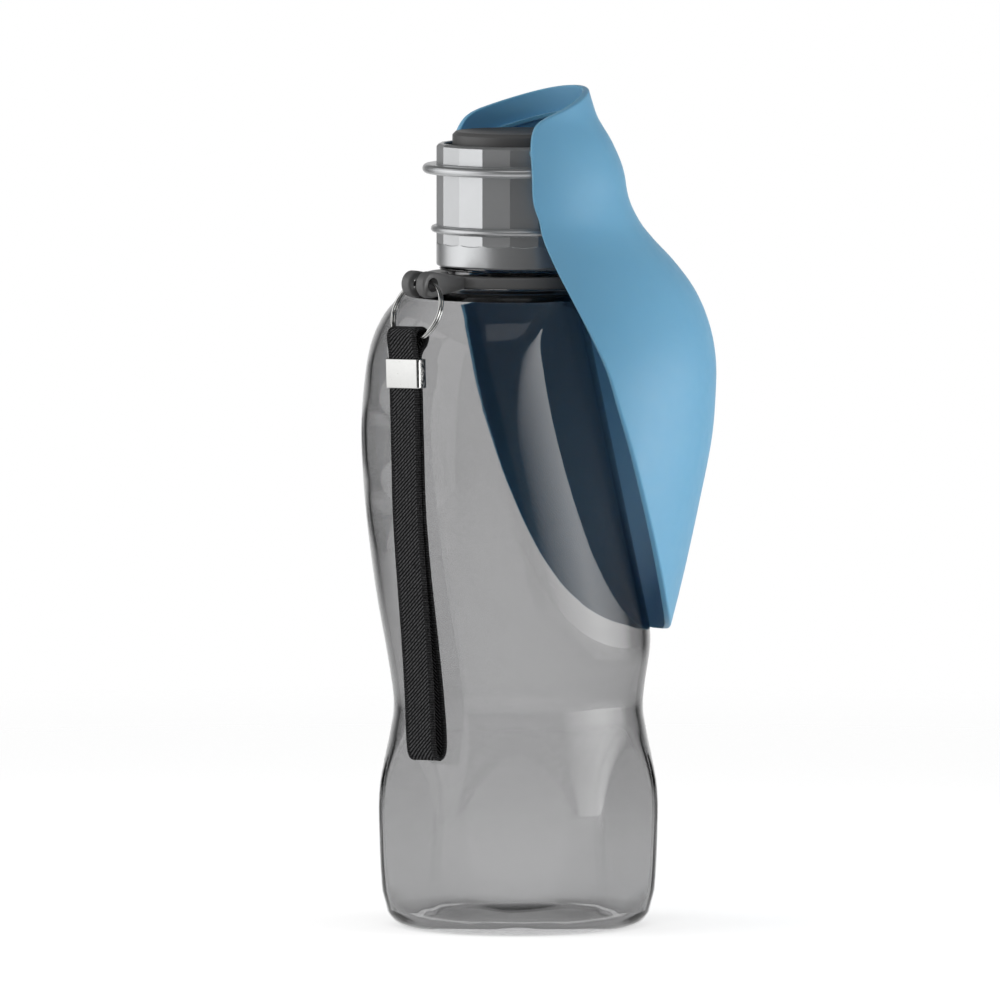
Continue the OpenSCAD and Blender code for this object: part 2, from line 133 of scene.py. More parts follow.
# %% A finish and its nodes
class Finish:
    """A node tree with one method that adds any node; a material unless a world is given. The plain
    values go on the main shader's own sockets, where a pattern may be linked over one later."""

    def __init__(self, name, world=None, **plain):
        self.owner = world or bpy.data.materials.new(name)
        self.owner.use_nodes = True
        self.tree = self.owner.node_tree
        self.tree.nodes.clear()
        if plain:
            self.shader = self.tree.nodes.new("ShaderNodeBsdfPrincipled")
            for socket, value in plain.items():
                self.shader.inputs[socket.replace("_", " ")].default_value = value
            self.end(Number(self, self.shader.outputs[0]))

    def node(self, kind, settings=None, values=None, output=0):
        """Add a node: its settings first, then a value or a link into each named socket."""
        node = self.tree.nodes.new(kind)
        for name, value in (settings or {}).items():
            setattr(node, name, value)
        for name, value in (values or {}).items():
            self.feed(node.inputs[name], value)
        return Number(self, node.outputs[output])

    def feed(self, socket, value):
        """Link a Number to a socket, or write a plain value on it."""
        if isinstance(value, Number):
            self.tree.links.new(value.socket, socket)
        else:
            socket.default_value = value

    def set(self, **links):
        """Feed sockets of the main shader."""
        for name, value in links.items():
            self.feed(self.shader.inputs[name.replace("_", " ")], value)

    def end(self, surface):
        """Link the last shader to the output of the material or the world."""
        kind = "ShaderNodeOutputWorld" if isinstance(self.owner, bpy.types.World) \
            else "ShaderNodeOutputMaterial"
        self.output = self.tree.nodes.new(kind)
        self.tree.links.new(surface.socket, self.output.inputs["Surface"])

    def place(self):
        """Object coordinates, in metres."""
        return self.node("ShaderNodeTexCoord", output=3)

    def noise(self, scale, detail, stretch=(1, 1, 1)):
        """Soft random values from 0 to 1, with a size of 1/scale metres."""
        place = self.node("ShaderNodeMapping", values={"Vector": self.place(), "Scale": stretch})
        return self.node("ShaderNodeTexNoise", values={"Vector": place, "Scale": scale,
                                                       "Detail": detail})

    def spread(self, value, low, high, to_low, to_high):
        """Carry one range of values over to another in a straight line, and hold it at the ends."""
        return self.node("ShaderNodeMapRange", values={
            "Value": value, "From Min": low, "From Max": high, "To Min": to_low,
            "To Max": to_high})

    def blend(self, amount, first, second):
        """A colour: the first times what is left of the amount, plus the second times the amount."""
        return self.node("ShaderNodeMix", {"data_type": "RGBA"},
                         {0: amount, 6: first, 7: second}, output=2)

    def bump(self, height, depth, strength):
        """Raise the surface by up to depth metres where the height is 1."""
        normal = self.node("ShaderNodeBump", values={"Height": height, "Distance": depth,
                                                     "Strength": strength})
        self.set(Normal=normal)


print("a finish adds any node, and has short names for noise, spread, blend and bump")

# %% [markdown]
# ## Light and floor
# A transparent bottle is mostly a picture of what stands round it, so the light has to be simple: a
# white room as the camera and the clear plastic see it, a white backdrop behind the bottle in the
# mirror of metal and plastic, and dim walls for everything else. In a studio, paper is hung up for
# that; one world does it here, because it can answer each kind of ray by itself. Wide soft lights
# left and right draw the bright facets of the cap. Only mirrors and matt surfaces see them, so they
# don't shine through the clear bottle as white patches. The floor is white and keeps a soft shadow.

# %% The white room
room_light, mirror_light = 0.36, 0.06
backdrop_edge = 0.85  # cosine of the angle, off straight behind, at which the backdrop has faded out
half_bounce = 0.5  # depths are whole numbers, so this parts no bounce from one
world = bpy.data.worlds.new("room")
bpy.context.scene.world = world
room = Finish("room", world=world)
rays = room.node("ShaderNodeLightPath").socket.node.outputs
straight = Number(room, rays["Is Camera Ray"]) + Number(room, rays["Is Transmission Ray"])
mirror_depth = Number(room, rays["Glossy Depth"])
direct = (Number(room, rays["Diffuse Depth"]) + mirror_depth).below(half_bounce)
mirrored = mirror_depth.above(half_bounce)
background = straight * direct
# a mirror ray meets the white backdrop behind the bottle, and a dim studio on the camera's side
heading = room.node("ShaderNodeTexCoord", output=0)
away_from_camera = room.node("ShaderNodeVectorMath", {"operation": "DOT_PRODUCT"},
                             {0: heading, 1: tuple(-to_camera)}, output=1)
mirror_room = room.spread(away_from_camera, backdrop_edge, 1.0, mirror_light, 1.0)
level = room_light + background * (1 - room_light) + mirrored * (mirror_room - room_light)
room.end(room.node("ShaderNodeBackground", values={"Color": (1, 1, 1, 1), "Strength": level}))
print("the room's strength is", room_light, "and in a mirror", mirror_light)

# %% The floor
floor_half, floor_white, floor_glow = 2.0, 0.9, 0.57
fades_from, fades_to = 0.25, 0.8
floor_mesh = bpy.data.meshes.new("floor")
floor_mesh.from_pydata([(-floor_half, -floor_half, 0), (floor_half, -floor_half, 0),
                        (floor_half, floor_half, 0), (-floor_half, floor_half, 0)], [],
                       [(0, 1, 2, 3)])
floor = bpy.data.objects.new("floor", floor_mesh)
bpy.context.scene.collection.objects.link(floor)
floor_finish = Finish("pale floor")
matt = floor_finish.node("ShaderNodeBsdfDiffuse", values={
    "Color": (floor_white, floor_white, floor_white, 1)})
path = floor_finish.node("ShaderNodeLightPath").socket.node.outputs
seen = (Number(floor_finish, path["Is Camera Ray"]) + Number(floor_finish, path["Is Glossy Ray"])
        + Number(floor_finish, path["Is Transmission Ray"])).at_most(1.0)
lit = floor_finish.node("ShaderNodeEmission", values={"Color": (1, 1, 1, 1),
                                                      "Strength": seen * floor_glow})
pale = floor_finish.node("ShaderNodeAddShader", values={0: matt, 1: lit})
# far from the bottle the floor thins out into the white room, so no edge of it is seen
away = floor_finish.node("ShaderNodeVectorMath", {"operation": "LENGTH"},
                         {0: floor_finish.place()}, output=1)
gone = floor_finish.spread(away, fades_from, fades_to, 0.0, 1.0)
clear = floor_finish.node("ShaderNodeBsdfTransparent")
floor_finish.end(floor_finish.node("ShaderNodeMixShader", values={0: gone, 1: pale, 2: clear}))
floor_mesh.materials.append(floor_finish.owner)
print("the floor is", 2 * floor_half, "m wide and is gone", fades_to, "m from the bottle")

# %% The lamps
def soft_light(name, turn, height, distance, size, power, spread=180):
    """A rectangle of light at an angle round the view (0 at the camera, 90 at its right): its x is
    the sine of the angle times the distance, and its y the cosine, backwards. A spread under 180
    degrees fades it towards its sides, so that its mirror image has soft edges."""
    lamp = bpy.data.lights.new(name, "AREA")
    lamp.shape, lamp.energy = "RECTANGLE", power
    lamp.size, lamp.size_y = size
    lamp.spread = math.radians(spread)
    holder = bpy.data.objects.new(name, lamp)
    holder.visible_camera = False
    holder.visible_transmission = False
    angle = view_azimuth + math.radians(turn)
    holder.location = (math.sin(angle) * distance, -math.cos(angle) * distance, height)
    # a lamp shines along its own -Z, so it is tipped up and turned to face the bottle's middle
    drop = math.atan2(height - middle_height, distance)
    holder.rotation_euler = (math.pi / 2 - drop, 0, angle)
    bpy.context.scene.collection.objects.link(holder)


soft_light("wide light, left", turn=-84, height=0.22, distance=0.5, size=(0.83, 0.6), power=1.0,
           spread=120)
soft_light("high light, front", turn=-4, height=1.4, distance=1.0, size=(1.1, 0.5), power=1.6)
soft_light("wide light, right", turn=79, height=0.11, distance=0.5, size=(0.84, 0.3), power=0.8,
           spread=80)
print("one world, one floor, three lamps")

# %% [markdown]
# ## Tools for shapes
# Nearly every piece is a sheet of points with rows and columns: a revolved profile, a tube along a
# path, a shell. The helpers below draw smooth curves through a few chosen points, turn a sheet into
# faces, and hand the finished piece to the body that it moves with. Such pieces could be pushed and
# pulled in edit mode too, but a formula keeps its curve smooth at any number of rows.

# %% Smooth curves
def through(points, steps):
    """Smooth curve through the points: each stretch is a cubic whose slope at a point is half the
    step from the point before it to the point after it."""
    p = np.array(points, float)
    padded = np.concatenate([p[:1], p, p[-1:]])
    return cubic_stretches(padded, steps, len(p) - 1, p[-1:])


def through_loop(points, steps):
    """The same curve, closed."""
    p = np.array(points, float)
    padded = np.concatenate([p[-1:], p, p[:2]])
    return cubic_stretches(padded, steps, len(p), p[:0])


def cubic_stretches(padded, steps, stretches, last):
    """All stretches at once. With neighbours a and d, the way from b to c is b, plus t times half of
    c less a, plus t squared and t cubed times what makes the slopes at both ends right."""
    t = (np.arange(steps) / steps)[None, :, None]
    a, b, c, d = (padded[k:k + stretches][:, None, :] for k in range(4))
    curve = b + t * ((c - a) / 2 + t * ((a - 2.5 * b + 2 * c - d / 2)
                                        + t * (1.5 * (b - c) + (d - a) / 2)))
    return np.concatenate([curve.reshape(-1, padded.shape[1]), last])


print("a curve through 3 points in 4 steps has", len(through([(0, 0), (1, 1), (2, 0)], 4)), "points")


# %% Faces of a sheet
def sheet_faces(rows, columns, wrap_rows=False):
    """Four-sided faces of a sheet of points, closed along each row, and over the rows if asked.
    Point j of row i has the number i times columns plus j, and a face joins it to its neighbours at
    j + 1 and at i + 1."""
    i = np.arange(rows if wrap_rows else rows - 1)[:, None]
    j = np.arange(columns)[None, :]
    up, side = (i + 1) % rows, (j + 1) % columns
    return np.stack([i * columns + j, i * columns + side, up * columns + side, up * columns + j],
                    axis=-1).reshape(-1, 4)


print("a tube of 3 rows and 8 columns has", len(sheet_faces(3, 8)), "faces")

# %% From points to a piece
merge_within, collapse_under = 0.002 * MM, 0.001 * MM


def make_piece(name, points, faces, body, finish, stands_for=(), corner_uv=None,
               sharp_over=None):
    """A mesh from points in millimetres and four-sided faces. Doubles are merged, the normals made
    to face out, and edges that bend by more than sharp_over degrees kept crisp."""
    mesh = bpy.data.meshes.new(name)
    points = np.asarray(points, float).reshape(-1, 3) * MM
    mesh.vertices.add(len(points))
    mesh.vertices.foreach_set("co", points.ravel())
    mesh.loops.add(faces.size)
    mesh.loops.foreach_set("vertex_index", faces.ravel())
    mesh.polygons.add(len(faces))
    mesh.polygons.foreach_set("loop_start", np.arange(0, faces.size, 4))
    mesh.update(calc_edges=True)
    if corner_uv is not None:
        mesh.uv_layers.new(name="weave").data.foreach_set("uv", corner_uv.ravel())
    tidy = bmesh.new()
    tidy.from_mesh(mesh)
    bmesh.ops.remove_doubles(tidy, verts=tidy.verts, dist=merge_within)
    bmesh.ops.dissolve_degenerate(tidy, edges=tidy.edges, dist=collapse_under)
    bmesh.ops.recalc_face_normals(tidy, faces=tidy.faces)
    open_edges = sum(not e.is_manifold for e in tidy.edges)
    tidy.to_mesh(mesh)
    tidy.free()
    mesh.shade_smooth()
    if sharp_over:
        mesh.set_sharp_from_angle(angle=math.radians(sharp_over))
    piece = bpy.data.objects.new(name, mesh)
    bpy.context.scene.collection.objects.link(piece)
    mesh.materials.append(finish.owner)
    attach(piece, body)
    if stands_for:
        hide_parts(*stands_for)
    print(f"{name}: {len(mesh.polygons)} faces, {open_edges} open edges")


print("points within", round(merge_within / MM, 3), "mm of each other will be merged")


# %% Round forms
def full_turn(count):
    """Angles of that many equal steps once round."""
    return np.arange(count) * 2 * np.pi / count


def round_axis(reach, angle, z):
    """Points about the upright axis: x is reach times the cosine of the angle, y is reach times its
    sine, and z is the height."""
    return np.stack([reach * np.cos(angle), reach * np.sin(angle), z + 0 * angle], axis=-1)


def revolve(profile, columns):
    """Turn rows of (radius, height) once round, by the formula of round_axis."""
    return round_axis(profile[:, :1], full_turn(columns), profile[:, 1:])


def upright(radius, low, high, rows):
    """A straight stretch of a profile: one radius at evenly spaced heights."""
    return np.stack([np.full(rows, radius), np.linspace(low, high, rows)], axis=-1)


print("8 columns stand", round(math.degrees(full_turn(8)[1])), "degrees apart")


# %% Soft creases and bends
def soft_least(a, b, width):
    """The smaller of two values, with the crease between them rounded over a width: a share of
    each, less the width times both shares."""
    share = np.clip(0.5 + 0.5 * (b - a) / width, 0, 1)
    return b * (1 - share) + a * share - width * share * (1 - share)


bend_steps, side_share = 4, 0.45


def rounded(points, bend):
    """An outline of (radius, height) corners with each corner cut to a short bend: a parabola, on
    which a point before the corner counts by (1 - t) squared, the corner by 2t (1 - t), and a point
    after it by t squared. A bend takes no more than its share of the shorter side."""
    p = np.array(points, float)
    t = np.linspace(0, 1, bend_steps + 1)[:, None]
    out = [p[:1]]
    for k in range(1, len(p) - 1):
        before, after = p[k - 1] - p[k], p[k + 1] - p[k]
        back, ahead = np.linalg.norm(before), np.linalg.norm(after)
        reach = min(bend, back * side_share, ahead * side_share)
        start, finish = p[k] + before / back * reach, p[k] + after / ahead * reach
        out.append(start * (1 - t) ** 2 + 2 * p[k] * t * (1 - t) + finish * t ** 2)
    return np.concatenate(out + [p[-1:]])


print("where two values of 10 meet, a crease 2 wide gives", soft_least(10, 10, 2))

# %% [markdown]
# ## The clear bottle
# The bottle is blown plastic with one even wall. Cutters and boolean modifiers could carve it, but
# they leave ragged edges on clear plastic. So its skin is one map of distances round the axis: for
# each height of the side profile and each direction we take the smallest of four distances, the
# round side, the scoop in front that the leaf folds into, the finger grooves at the back, and the
# flat panels at the foot. A soft minimum rounds every crease, as blown plastic is. The inner skin is
# the same map with every distance a wall less, and the two meet over the lip of the neck.

# %% Sizes of the bottle, in mm
# a point of a profile is its distance from the axis and its height
bottle_wall = 2.0
side_points = [(40.1, 10.3), (40.9, 25), (40.8, 41), (37.8, 56.9), (36.7, 66), (38.5, 79.6),
               (42, 99.4), (45, 123.6), (46.2, 145), (45.2, 161), (43.2, 172), (39.5, 180),
               (35.1, 185.2)]
foot_points = [(0, 5), (8, 4.6), (14, 3.8), (22, 1.8), (27, 0.1), (30, 0), (33, 0.1), (36.6, 1.7),
               (39, 5)]
dome_heights, dome_shares = (0, 5.5, 12), (1, 0.6, 0)
scoop_radius, scoop_lean, scoop_x, scoop_z, scoop_low = 40.0, math.radians(12.7), -2.7, 90.0, 80.0
pad_radius, pad_low, shoulder_z = 26.5, 182.5, 188.5
shoulder_points = [(33.4, 186.3), (31, 187.2), (28.5, 188.0), (pad_radius, shoulder_z)]
groove_heights, groove_half, grooves_end = 96 + 24.2 * np.arange(4), 14, 181
groove_radius, groove_axis = 20.0, 63.8
panels, panel_reach, panel_low, panel_top, panel_turn = 6, 37.7, 4, 66.0, math.radians(6)
scoop_crease, groove_crease, panel_crease = 2.2, 1.0, 0.5
neck_radius, neck_bore, neck_top = 20.8, 18.6, 212.0
flange_low, flange_high, flange_radius = 193.4, 194.3, 23.2
thread_low, thread_high, thread_pitch, thread_depth = 197.0, 208.5, 4.0, 0.75
thread_steep, thread_fade = 4.4, 1.5
# a groove and a panel reach only so far round: the least cosine of the angle away from their middle
groove_cosine, panel_cosine = 0.2, 0.6
far = 99.0  # past every wall, for where a cut doesn't reach
print("the bottle is", neck_top, "mm high,", max(r for r, z in side_points), "mm from axis to side")


# %% One skin of the bottle
def bottle_skin(profile, columns, inset):
    """Distance from the axis for each row of the profile and each direction round it. A cylinder
    that leans by an angle meets the ray at the root of a quadratic; a groove and a flat panel meet
    it at a plane's distance divided by the cosine of the direction."""
    angle = full_turn(columns)
    z = profile[:, 1:] + 0 * angle
    reach = profile[:, :1] + 0 * angle
    axis_x = scoop_x - (z - scoop_z) * math.tan(scoop_lean)
    squash = math.cos(scoop_lean) ** 2
    a = squash * np.cos(angle) ** 2 + np.sin(angle) ** 2
    b = -2 * squash * axis_x * np.cos(angle)
    c = squash * axis_x ** 2 - (scoop_radius - inset) ** 2
    scoop = (-b + np.sqrt(np.maximum(b * b - 4 * a * c, 0))) / (2 * a)
    in_scoop = (z > scoop_low) & (z < shoulder_z)
    cut = np.where(in_scoop, soft_least(reach, scoop, scoop_crease), reach)
    pad = np.minimum(reach, pad_radius - inset)
    reach = np.where(z > pad_low + inset, np.maximum(cut, pad), cut)
    behind = -np.cos(angle)
    for height in groove_heights:
        bulge = np.sqrt(np.maximum((groove_radius + inset) ** 2 - (z - height) ** 2, 0))
        groove = np.where((behind > groove_cosine) & (abs(z - height) < groove_half),
                          (groove_axis - bulge) / np.maximum(behind, groove_cosine), far)
        reach = np.where(z < grooves_end, soft_least(reach, groove, groove_crease), reach)
    for turn in panel_turn + full_turn(panels):
        toward = np.cos(angle - turn)
        panel = np.where((toward > panel_cosine) & (z < panel_top) & (z > panel_low),
                         (panel_reach - inset) / np.maximum(toward, panel_cosine), far)
        reach = soft_least(reach, panel, panel_crease)
    return round_axis(reach, angle, z)


def neck_skin(profile, columns):
    """The neck, with a thread wound up it: a ridge that climbs by one pitch for each time round, and
    fades at both ends. How far a point lies from the ridge is its height, counted in pitches, less
    its angle, counted in turns."""
    angle = full_turn(columns)
    r, z = profile[:, :1] + 0 * angle, profile[:, 1:] + 0 * angle
    turn = (z - thread_low) / thread_pitch - angle / (2 * np.pi)
    ridge = np.clip(1 - abs((turn % 1) - 0.5) * thread_steep, 0, 1)
    fade = (np.clip((z - thread_low) / thread_fade, 0, 1)
            * np.clip((thread_high - z) / thread_fade, 0, 1))
    r = r + np.where(r >= neck_radius, thread_depth * ridge * fade, 0)
    return round_axis(r, angle, z)


sample = bottle_skin(np.array([(44.6, 120.0)]), 2, 0)
print("at a height of 120 mm the skin crosses x at", sample[0, :, 0].round(1))

# %% Profiles of the bottle
bottle_columns, foot_steps, side_steps = 216, 3, 8
foot_ends = 100  # heights rise and fall over the foot's dome, but from here on they only rise


def side_profile(inset):
    """Foot, side and shoulder of one skin. The inner one is a wall less in radius, and its dome and
    shoulder are a wall away in height."""
    foot = through(foot_points, foot_steps)
    foot[:, 1] = np.maximum(foot[:, 1], 0)
    side = through(foot_points[-1:] + side_points, side_steps)[side_steps:]
    middle = np.concatenate([foot[:-1], side]) - [[inset, 0]]
    middle[:, 1] += np.interp(middle[:, 1], dome_heights, np.multiply(dome_shares, inset))
    near_axis = middle[:, 0] <= -inset / 2
    return np.concatenate([middle[~near_axis], np.array(shoulder_points) - inset])


def split_rows(profile, low, high, rows):
    """More rows between two heights, so that a sudden step there is drawn sharp."""
    heights = np.linspace(low, high, rows)
    extra = np.stack([np.interp(heights, profile[:, 1], profile[:, 0]), heights], axis=-1)
    outside = profile[(profile[:, 1] < low) | (profile[:, 1] > high)]
    at = np.searchsorted(outside[:, 1] * (outside[:, 1] > foot_ends), low)
    return np.concatenate([outside[:at], extra, outside[at:]])


outer_profile = split_rows(side_profile(0), pad_low - 0.4, pad_low + 0.5, 7)
inner_profile = split_rows(side_profile(bottle_wall), pad_low + bottle_wall - 0.4,
                           pad_low + bottle_wall + 0.5, 5)
# both skins start on the axis
outer_profile[0, 0] = 0
inner_profile[0, 0] = 0
print("rows of the outer and inner skin:", len(outer_profile), len(inner_profile))

# %% Profile of the neck, and the whole sheet
# up the outside, over the lip and down the bore
neck_profile = np.concatenate([
    [(23, shoulder_z), (21.6, 188.6), (20.9, 189.0), (neck_radius, 189.8),
     (neck_radius, flange_low), (flange_radius - 0.3, flange_low), (flange_radius, flange_low + 0.3),
     (flange_radius, flange_high - 0.3), (flange_radius - 0.3, flange_high),
     (neck_radius + 0.3, flange_high), (neck_radius, flange_high + 0.3)],
    upright(neck_radius, 196, neck_top - 0.6, 36),
    [(neck_radius - 0.2, neck_top - 0.15), (neck_radius - 0.6, neck_top),
     (neck_bore + 0.6, neck_top), (neck_bore + 0.15, neck_top - 0.2),
     (neck_bore, neck_top - 0.7), (neck_bore, 200), (neck_bore, 187.6),
     (neck_bore + 0.3, 186.8), (neck_bore + 1.2, 186.5)]])
bottle_points = np.concatenate([
    bottle_skin(outer_profile, bottle_columns, 0),
    neck_skin(neck_profile, bottle_columns),
    bottle_skin(inner_profile, bottle_columns, bottle_wall)[::-1]])
print("the bottle's sheet has", len(bottle_points), "rows of", bottle_columns, "points")

# %% [markdown]
# ## Smoky plastic
# The real plastic is clear with a grey smoke in it. A thin see-through shader would be quicker, but
# it bends no light, and the bends are what makes an empty bottle look solid. So the wall is a true
# one that transmits light, and its smoke is told in two halves. The skin's colour darkens every view
# alike, and the absorption inside the wall darkens a long way through it, which draws the dark edges.

# %% Finish of the bottle
skin_colour, smoke_colour, smoke_density = (0.815, 0.815, 0.817, 1), (0.5, 0.5, 0.505, 1), 300.0
clear_plastic = Finish("smoky clear plastic", Base_Color=skin_colour, Roughness=0.03, IOR=1.42,
                       Transmission_Weight=1.0)
smoke = clear_plastic.node("ShaderNodeVolumeAbsorption",
                           values={"Color": smoke_colour, "Density": smoke_density})
clear_plastic.tree.links.new(smoke.socket, clear_plastic.output.inputs["Volume"])
# slow ripples, twice as long up the bottle as round it, as blowing leaves them
clear_plastic.bump(clear_plastic.noise(38, 1.5, stretch=(1, 1, 0.5)), 0.00008, 0.2)
clear_plastic.set(Roughness=clear_plastic.spread(clear_plastic.noise(160, 3), 0.3, 0.8, 0.02, 0.04))
make_piece("clear_bottle", bottle_points,
           sheet_faces(len(bottle_points), bottle_columns), "bottle",
           clear_plastic, ["bottle_body"], sharp_over=40)

# %% [markdown]
# ## The drinking leaf
# The leaf is one moulded silicone shell: a long spoon that hugs the scooped front of the bottle and
# closes over the cap like a hood. Each row of it is an arc about an upright axis, so the whole form
# is five numbers that change with height: where the arc's centre lies, its radius, how far it wraps
# round, how far its corners droop, and how far the wall steps in at the rim. Both skins come from
# the same map, and a quarter circle takes the wall down to nothing at the edge, which rounds the rim
# as a mould does. A box with subdivision and a Solidify modifier would give a softer spoon, but the
# ledge under the hood and the fine rim would each need edge loops of their own.

# %% Sizes of the leaf, in mm
leaf_wall = 2.0
# each row: its height, where the arc's centre lies, the arc's radius, and half its turn in degrees
leaf_rows = np.array([
    (86.4, -4.3, 48.2, 4), (87, -4.3, 48.4, 16.5), (88, -4.3, 48.6, 24), (89.5, -4.3, 49, 30.3),
    (91.5, -4.3, 49.5, 35.6), (97, -4.3, 50.9, 44.8),
    (107.6, -3.3, 52.5, 55.6), (125, 0.4, 52.9, 68.9), (143, 4.5, 52.7, 80.4),
    (155, 6.5, 52, 86.8), (166.6, 8.3, 50.5, 92.5), (177, 9.6, 47.4, 98.9),
    (187, 9.9, 42.9, 105.1), (195.5, 8.5, 38, 109), (202, 6.2, 34.1, 110), (207, 4, 32.2, 109.5),
    (214, 0.9, 31.7, 107.5), (223, 0, 30.75, 107), (231, -1.6, 28.9, 106.6), (238, -3, 26.1, 105),
    (243, -3.8, 25.1, 102), (245.7, -4.2, 24.7, 97.5), (246.7, -4.3, 24.6, 92),
    (247, -4.3, 24.6, 86)])
leaf_low, leaf_high = leaf_rows[0, 0], leaf_rows[-1, 0]
corner_droop, droop_start = 8.2, 196.0
ledge_low, ledge_high, ledge_depth, ledge_blend = 238.5, 239.7, 1.6, 0.3
outer_fillet, inner_fillet = 0.55, 0.4
print("the leaf is", round(leaf_high - leaf_low, 1), "mm high, and its wall is", leaf_wall, "mm")


# %% Smooth values between the rows
def leaf_value(z, column):
    """One column of the table at any height. Between two rows it runs on a cubic in t, from 0 at the
    lower row to 1 at the upper one. The lower value counts by (1 + 2t) times (1 - t) squared and its
    slope by t times (1 - t) squared, and the upper ones by the mirror image of that. A row's slope
    is the step between its neighbours over their difference in height."""
    at, value = leaf_rows[:, 0], leaf_rows[:, column]
    slope = np.empty(len(at))
    slope[1:-1] = (value[2:] - value[:-2]) / (at[2:] - at[:-2])
    slope[0] = (value[1] - value[0]) / (at[1] - at[0])
    slope[-1] = (value[-1] - value[-2]) / (at[-1] - at[-2])
    k = np.clip(np.searchsorted(at, z, side="right") - 1, 0, len(at) - 2)
    span = at[k + 1] - at[k]
    t = np.clip((z - at[k]) / span, 0, 1)
    return (value[k] * (1 + 2 * t) * (1 - t) ** 2 + slope[k] * span * t * (1 - t) ** 2
            + value[k + 1] * t * t * (3 - 2 * t) - slope[k + 1] * span * t * t * (1 - t))


def ease(t):
    """A smooth step from 0 to 1: three t squared less two t cubed."""
    t = np.clip(t, 0, 1)
    return t * t * (3 - 2 * t)


middle_radius = leaf_value((leaf_low + leaf_high) / 2, 2)
print("half way up, the arc of the leaf has a radius of", round(middle_radius, 1), "mm")


# %% One skin of the leaf
def leaf_skin(z, across, depth):
    """Points of one skin: the arc's centre, plus its radius less a depth, times the cosine and sine
    of an angle, which is the arc's half turn times a share across from -1 to 1. Towards the top a
    point droops by one less the cosine of its angle, so the corners hang lowest."""
    angle = across * np.radians(leaf_value(z, 3))
    droop = corner_droop * (1 - np.cos(angle)) * ease((z - droop_start) / (ledge_low - droop_start))
    height = z - droop
    reach = leaf_value(height, 2) - depth
    return np.stack([leaf_value(height, 1) + reach * np.cos(angle), reach * np.sin(angle), height],
                    axis=-1)


def fillet_steps(count):
    """Distances from an edge at equal turns of the fillet: its radius times one less the cosine."""
    return outer_fillet * (1 - np.cos(np.linspace(0, np.pi / 2, count)))


def tuck(from_edge, fillet):
    """How far a quarter circle takes the skin in at a distance from the edge: the radius, less the
    root of its square less the square of what is left to the fillet's end."""
    near = np.clip(1 - from_edge / fillet, 0, 1)
    return fillet * (1 - np.sqrt(1 - near ** 2))


print("the fillet takes in", tuck(np.array([0, 0.1, outer_fillet]), outer_fillet).round(2), "mm")

# %% Rows and columns of the leaf
rim_rows, rim_columns, flat_columns = 8, 9, 130
tip_reach, hood_reach = 6, 5  # rows crowd together over this height at the tip and under the top
most_of_row = 0.3  # a side's fillet takes no more of a row than this, where the tip is narrow
leaf_heights = np.unique(np.concatenate([
    leaf_low + fillet_steps(rim_rows),
    leaf_low + outer_fillet + tip_reach * np.linspace(0, 1, 24) ** 2,
    np.linspace(93, 236, 96), np.linspace(ledge_low - 0.4, ledge_low + 0.1, 4),
    np.linspace(ledge_high - 0.1, ledge_high + 0.4, 4), np.linspace(240.5, 242, 4),
    leaf_high - outer_fillet - hood_reach * np.linspace(0, 1, 18) ** 2,
    leaf_high - fillet_steps(rim_rows)]))
row_z = leaf_heights[:, None]
row_half = np.radians(leaf_value(row_z, 3)) * leaf_value(row_z, 2)
# where the side edge runs aslant, a distance along the row is longer than one square to the edge
aslant = np.hypot(1, np.gradient(row_half[:, 0], leaf_heights))[:, None]
edge_part = np.minimum(fillet_steps(rim_columns)[None, :] * aslant / row_half, most_of_row)
share = np.linspace(0, 1, flat_columns)[None, 1:-1]
left_edge, right_edge = edge_part - 1, 1 - edge_part[:, ::-1]
between = left_edge[:, -1:] * (1 - share) + right_edge[:, :1] * share
row_across = np.concatenate([left_edge, between, right_edge], axis=1)
print("each skin of the leaf has", row_across.shape[0], "rows of", row_across.shape[1], "points")

# %% Close the leaf
from_side = (1 - abs(row_across)) * row_half / aslant
from_end = np.minimum(row_z - leaf_low, leaf_high - row_z)
from_edge = np.minimum(from_side, from_end)
ledge = ledge_depth * (ease((row_z - ledge_low) / ledge_blend + 0.5)
                       - ease((row_z - ledge_high) / ledge_blend + 0.5))
outer = leaf_skin(row_z, row_across, tuck(from_edge, outer_fillet))
inner = leaf_skin(row_z, row_across, leaf_wall + ledge - tuck(from_edge, inner_fillet))
leaf_points = np.concatenate([outer, inner[:, ::-1]], axis=1)
row_count, leaf_columns = leaf_points.shape[:2]
# a strip of faces joins the outer and the inner skin below the first row, and one above the last
column = np.arange(row_across.shape[1] - 1)
end_strip = np.stack([column, column + 1, leaf_columns - 2 - column, leaf_columns - 1 - column],
                     axis=-1)
leaf_faces = np.concatenate([sheet_faces(row_count, leaf_columns), end_strip,
                             end_strip + (row_count - 1) * leaf_columns])
print("the leaf's thickest wall is", (leaf_wall + ledge).max().round(2), "mm, at the ledge")

# %% [markdown]
# ## Blue silicone
# Silicone scatters light a little way under its skin and is matt on top, with a touch of dust that
# catches light at the edges. A translucent mix could do it, but the main shader's own subsurface is
# kept by the export. The colour drifts slowly, and the roughness and the bump carry a finer grain.

